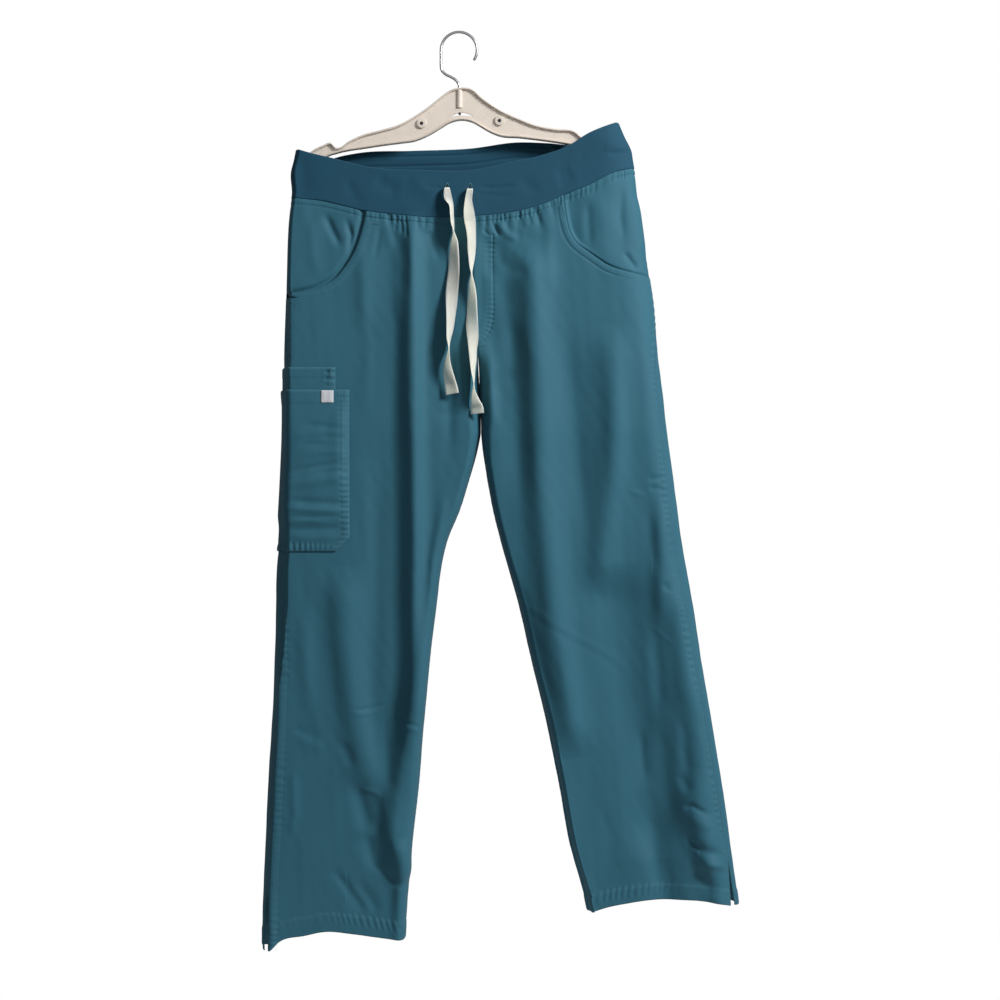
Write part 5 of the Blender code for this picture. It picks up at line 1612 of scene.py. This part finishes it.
def plain_material(name, colour, roughness, metallic=0.0, grain=60.0, depth=0.02, **extra):
    """A hard material with slight scuffs in its gloss and a fine grain."""
    material, nodes, links, shader = new_material(name)
    coords = nodes.new("ShaderNodeTexCoord")
    noise = node(nodes, "ShaderNodeTexNoise", in_Scale=grain, in_Detail=4.0)
    links.new(coords.outputs["Object"], noise.inputs["Vector"])
    uneven = maths(nodes, links, "MULTIPLY", noise.outputs["Fac"], 0.2)
    rough = maths(nodes, links, "ADD", uneven, roughness - 0.1)
    links.new(rough, shader.inputs["Roughness"])
    ramp = nodes.new("ShaderNodeValToRGB")
    ramp.color_ramp.elements[0].color = (*(c * 0.88 for c in colour), 1)
    ramp.color_ramp.elements[1].color = (*colour, 1)
    links.new(noise.outputs["Fac"], ramp.inputs["Fac"])
    links.new(ramp.outputs["Color"], shader.inputs["Base Color"])
    shader.inputs["Metallic"].default_value = metallic
    for key, value in extra.items():
        shader.inputs[key.replace("_", " ")].default_value = value
    dent = node(nodes, "ShaderNodeBump", in_Strength=0.25, in_Distance=depth * MM)
    links.new(noise.outputs["Fac"], dent.inputs["Height"])
    links.new(dent.outputs["Normal"], shader.inputs["Normal"])
    return material


# ---------------------------------------------------------------- stage, light and camera

def studio():
    scene = bpy.context.scene
    scene.view_settings.view_transform = "Standard"
    scene.view_settings.look = "None"
    data = bpy.data.cameras.new("camera")
    data.lens, data.sensor_width = LENS, SENSOR
    camera = bpy.data.objects.new("camera", data)
    camera.location = [value * MM for value in EYE]
    camera.rotation_euler = (math.pi / 2, 0, 0)
    scene.collection.objects.link(camera)
    scene.camera = camera


def lights():
    scene = bpy.context.scene
    for name, place, aim, size, watts, colour in (
        ("key", (2.0, -1.5, 0.9), (0.05, 0, -0.5), 0.8, 118, (1.0, 0.99, 0.97)),
        ("front", (-0.3, -2.6, 0.5), (0.05, 0, -0.6), 1.6, 5, (0.95, 0.98, 1.0)),
    ):
        data = bpy.data.lights.new(name, "AREA")
        data.shape = "DISK"
        data.size, data.energy, data.color = size, watts, colour
        lamp = bpy.data.objects.new(name, data)
        lamp.location = place
        way = np.array(aim) - np.array(place)
        flat = math.hypot(way[0], way[1])
        lamp.rotation_euler = (math.atan2(flat, -way[2]), 0, math.atan2(way[1], way[0]) - math.pi / 2)
        scene.collection.objects.link(lamp)
    world = bpy.data.worlds.new("studio")
    scene.world = world
    world.use_nodes = True
    nodes, links = world.node_tree.nodes, world.node_tree.links
    fill = nodes["Background"]
    fill.inputs["Color"].default_value = (0.93, 0.97, 1.0, 1)
    fill.inputs["Strength"].default_value = 0.2
    white = node(nodes, "ShaderNodeBackground", in_Color=(1, 1, 1, 1), in_Strength=1.0)
    ray = nodes.new("ShaderNodeLightPath")
    seen = maths(nodes, links, "MAXIMUM", ray.outputs["Is Camera Ray"], ray.outputs["Is Transmission Ray"])
    mix = nodes.new("ShaderNodeMixShader")
    links.new(seen, mix.inputs["Fac"])
    links.new(fill.outputs["Background"], mix.inputs[1])
    links.new(white.outputs["Background"], mix.inputs[2])
    links.new(mix.outputs["Shader"], nodes["World Output"].inputs["Surface"])


FLOOR_X, FLOOR_Z, FLOOR_RADIUS, FLOOR_THICK = 60, -1450, 660, 8


def floor():
    turns = np.linspace(0, 2 * math.pi, 97)[:-1]
    ring = [(FLOOR_X + FLOOR_RADIUS * math.cos(t), FLOOR_RADIUS * math.sin(t), FLOOR_Z) for t in turns]
    lower = [(x, y, z - FLOOR_THICK) for x, y, z in ring]
    material = plain_material("floor_paint", (0.86, 0.86, 0.85), 0.7, grain=20)
    mesh_object("floor", ring + lower, prism_faces(len(ring)), material, smooth_shade=False)


Cut = namedtuple("Cut", "width length area hangs_from")


def main():
    studio()
    tape = cloth_material(
        "ivory_tape", (0.84, 0.83, 0.62), (0.88, 0.87, 0.68), (0.76, 0.75, 0.54), 0.85,
        "herringbone", 1.1, 0.12, 0.1, 0.3,
        Subsurface_Weight=1.0, Subsurface_Scale=0.012, Subsurface_Radius=(1.0, 1.0, 0.9),
    )
    for name, route in TAPES.items():
        tape_piece(name, route, tape)
    scrub = cloth_material(
        "scrub_cloth", (0.0245, 0.113, 0.162), (0.068, 0.185, 0.24), (0.018, 0.088, 0.132), 0.7,
        "twill", 0.75, 0.09, 0.05, 0.8,
    )
    knit = cloth_material(
        "waistband_knit", (0.0092, 0.0625, 0.1066), (0.03, 0.105, 0.155), (0.0065, 0.046, 0.082), 0.8,
        "rib", 1.5, 0.16, 0.03, 0.7,
    )
    thread = cloth_material(
        "thread", (0.06, 0.18, 0.24), (0.09, 0.22, 0.28), (0.04, 0.14, 0.19), 0.6,
        "twill", 0.4, 0.05, 0.05, 0.6, "Object",
    )
    tag = cloth_material(
        "woven_tag", (0.55, 0.57, 0.60), (0.7, 0.72, 0.74), (0.40, 0.42, 0.46), 0.5,
        "rib", 0.6, 0.08, 0.3, 0.6,
    )
    # Near-black for the buttonhole slits: painted shade inside the holes.
    dark = plain_material("painted_hole_shade", (0.006, 0.02, 0.03), 0.9)
    clear = plain_material(
        "clear_plastic", (0.77, 0.695, 0.62), 0.3, depth=0.0, Transmission_Weight=0.25, IOR=1.3,
    )
    steel = plain_material("bright_steel", (0.66, 0.66, 0.68), 0.28, 1.0, grain=90)
    rivet = plain_material("dark_rivet", (0.05, 0.05, 0.06), 0.35, 1.0)

    for side in SIDES:
        for face in (FRONT, BACK):
            panel_piece(side, face, scrub)
        facing_piece(side, scrub)
    band_piece(FRONT, knit)
    band_piece(BACK, knit)
    pocket_piece("cargo_pocket_inner", INNER_POCKET, None, scrub)
    pocket_piece("cargo_pocket_outer", OUTER_POCKET, INNER_POCKET, scrub)
    tag_piece(tag)
    sew_everything()
    buttonhole_pieces(thread, dark)
    stitch_pieces(thread)
    hanger_pieces(clear, steel, rivet)
    lights()
    floor()


main()
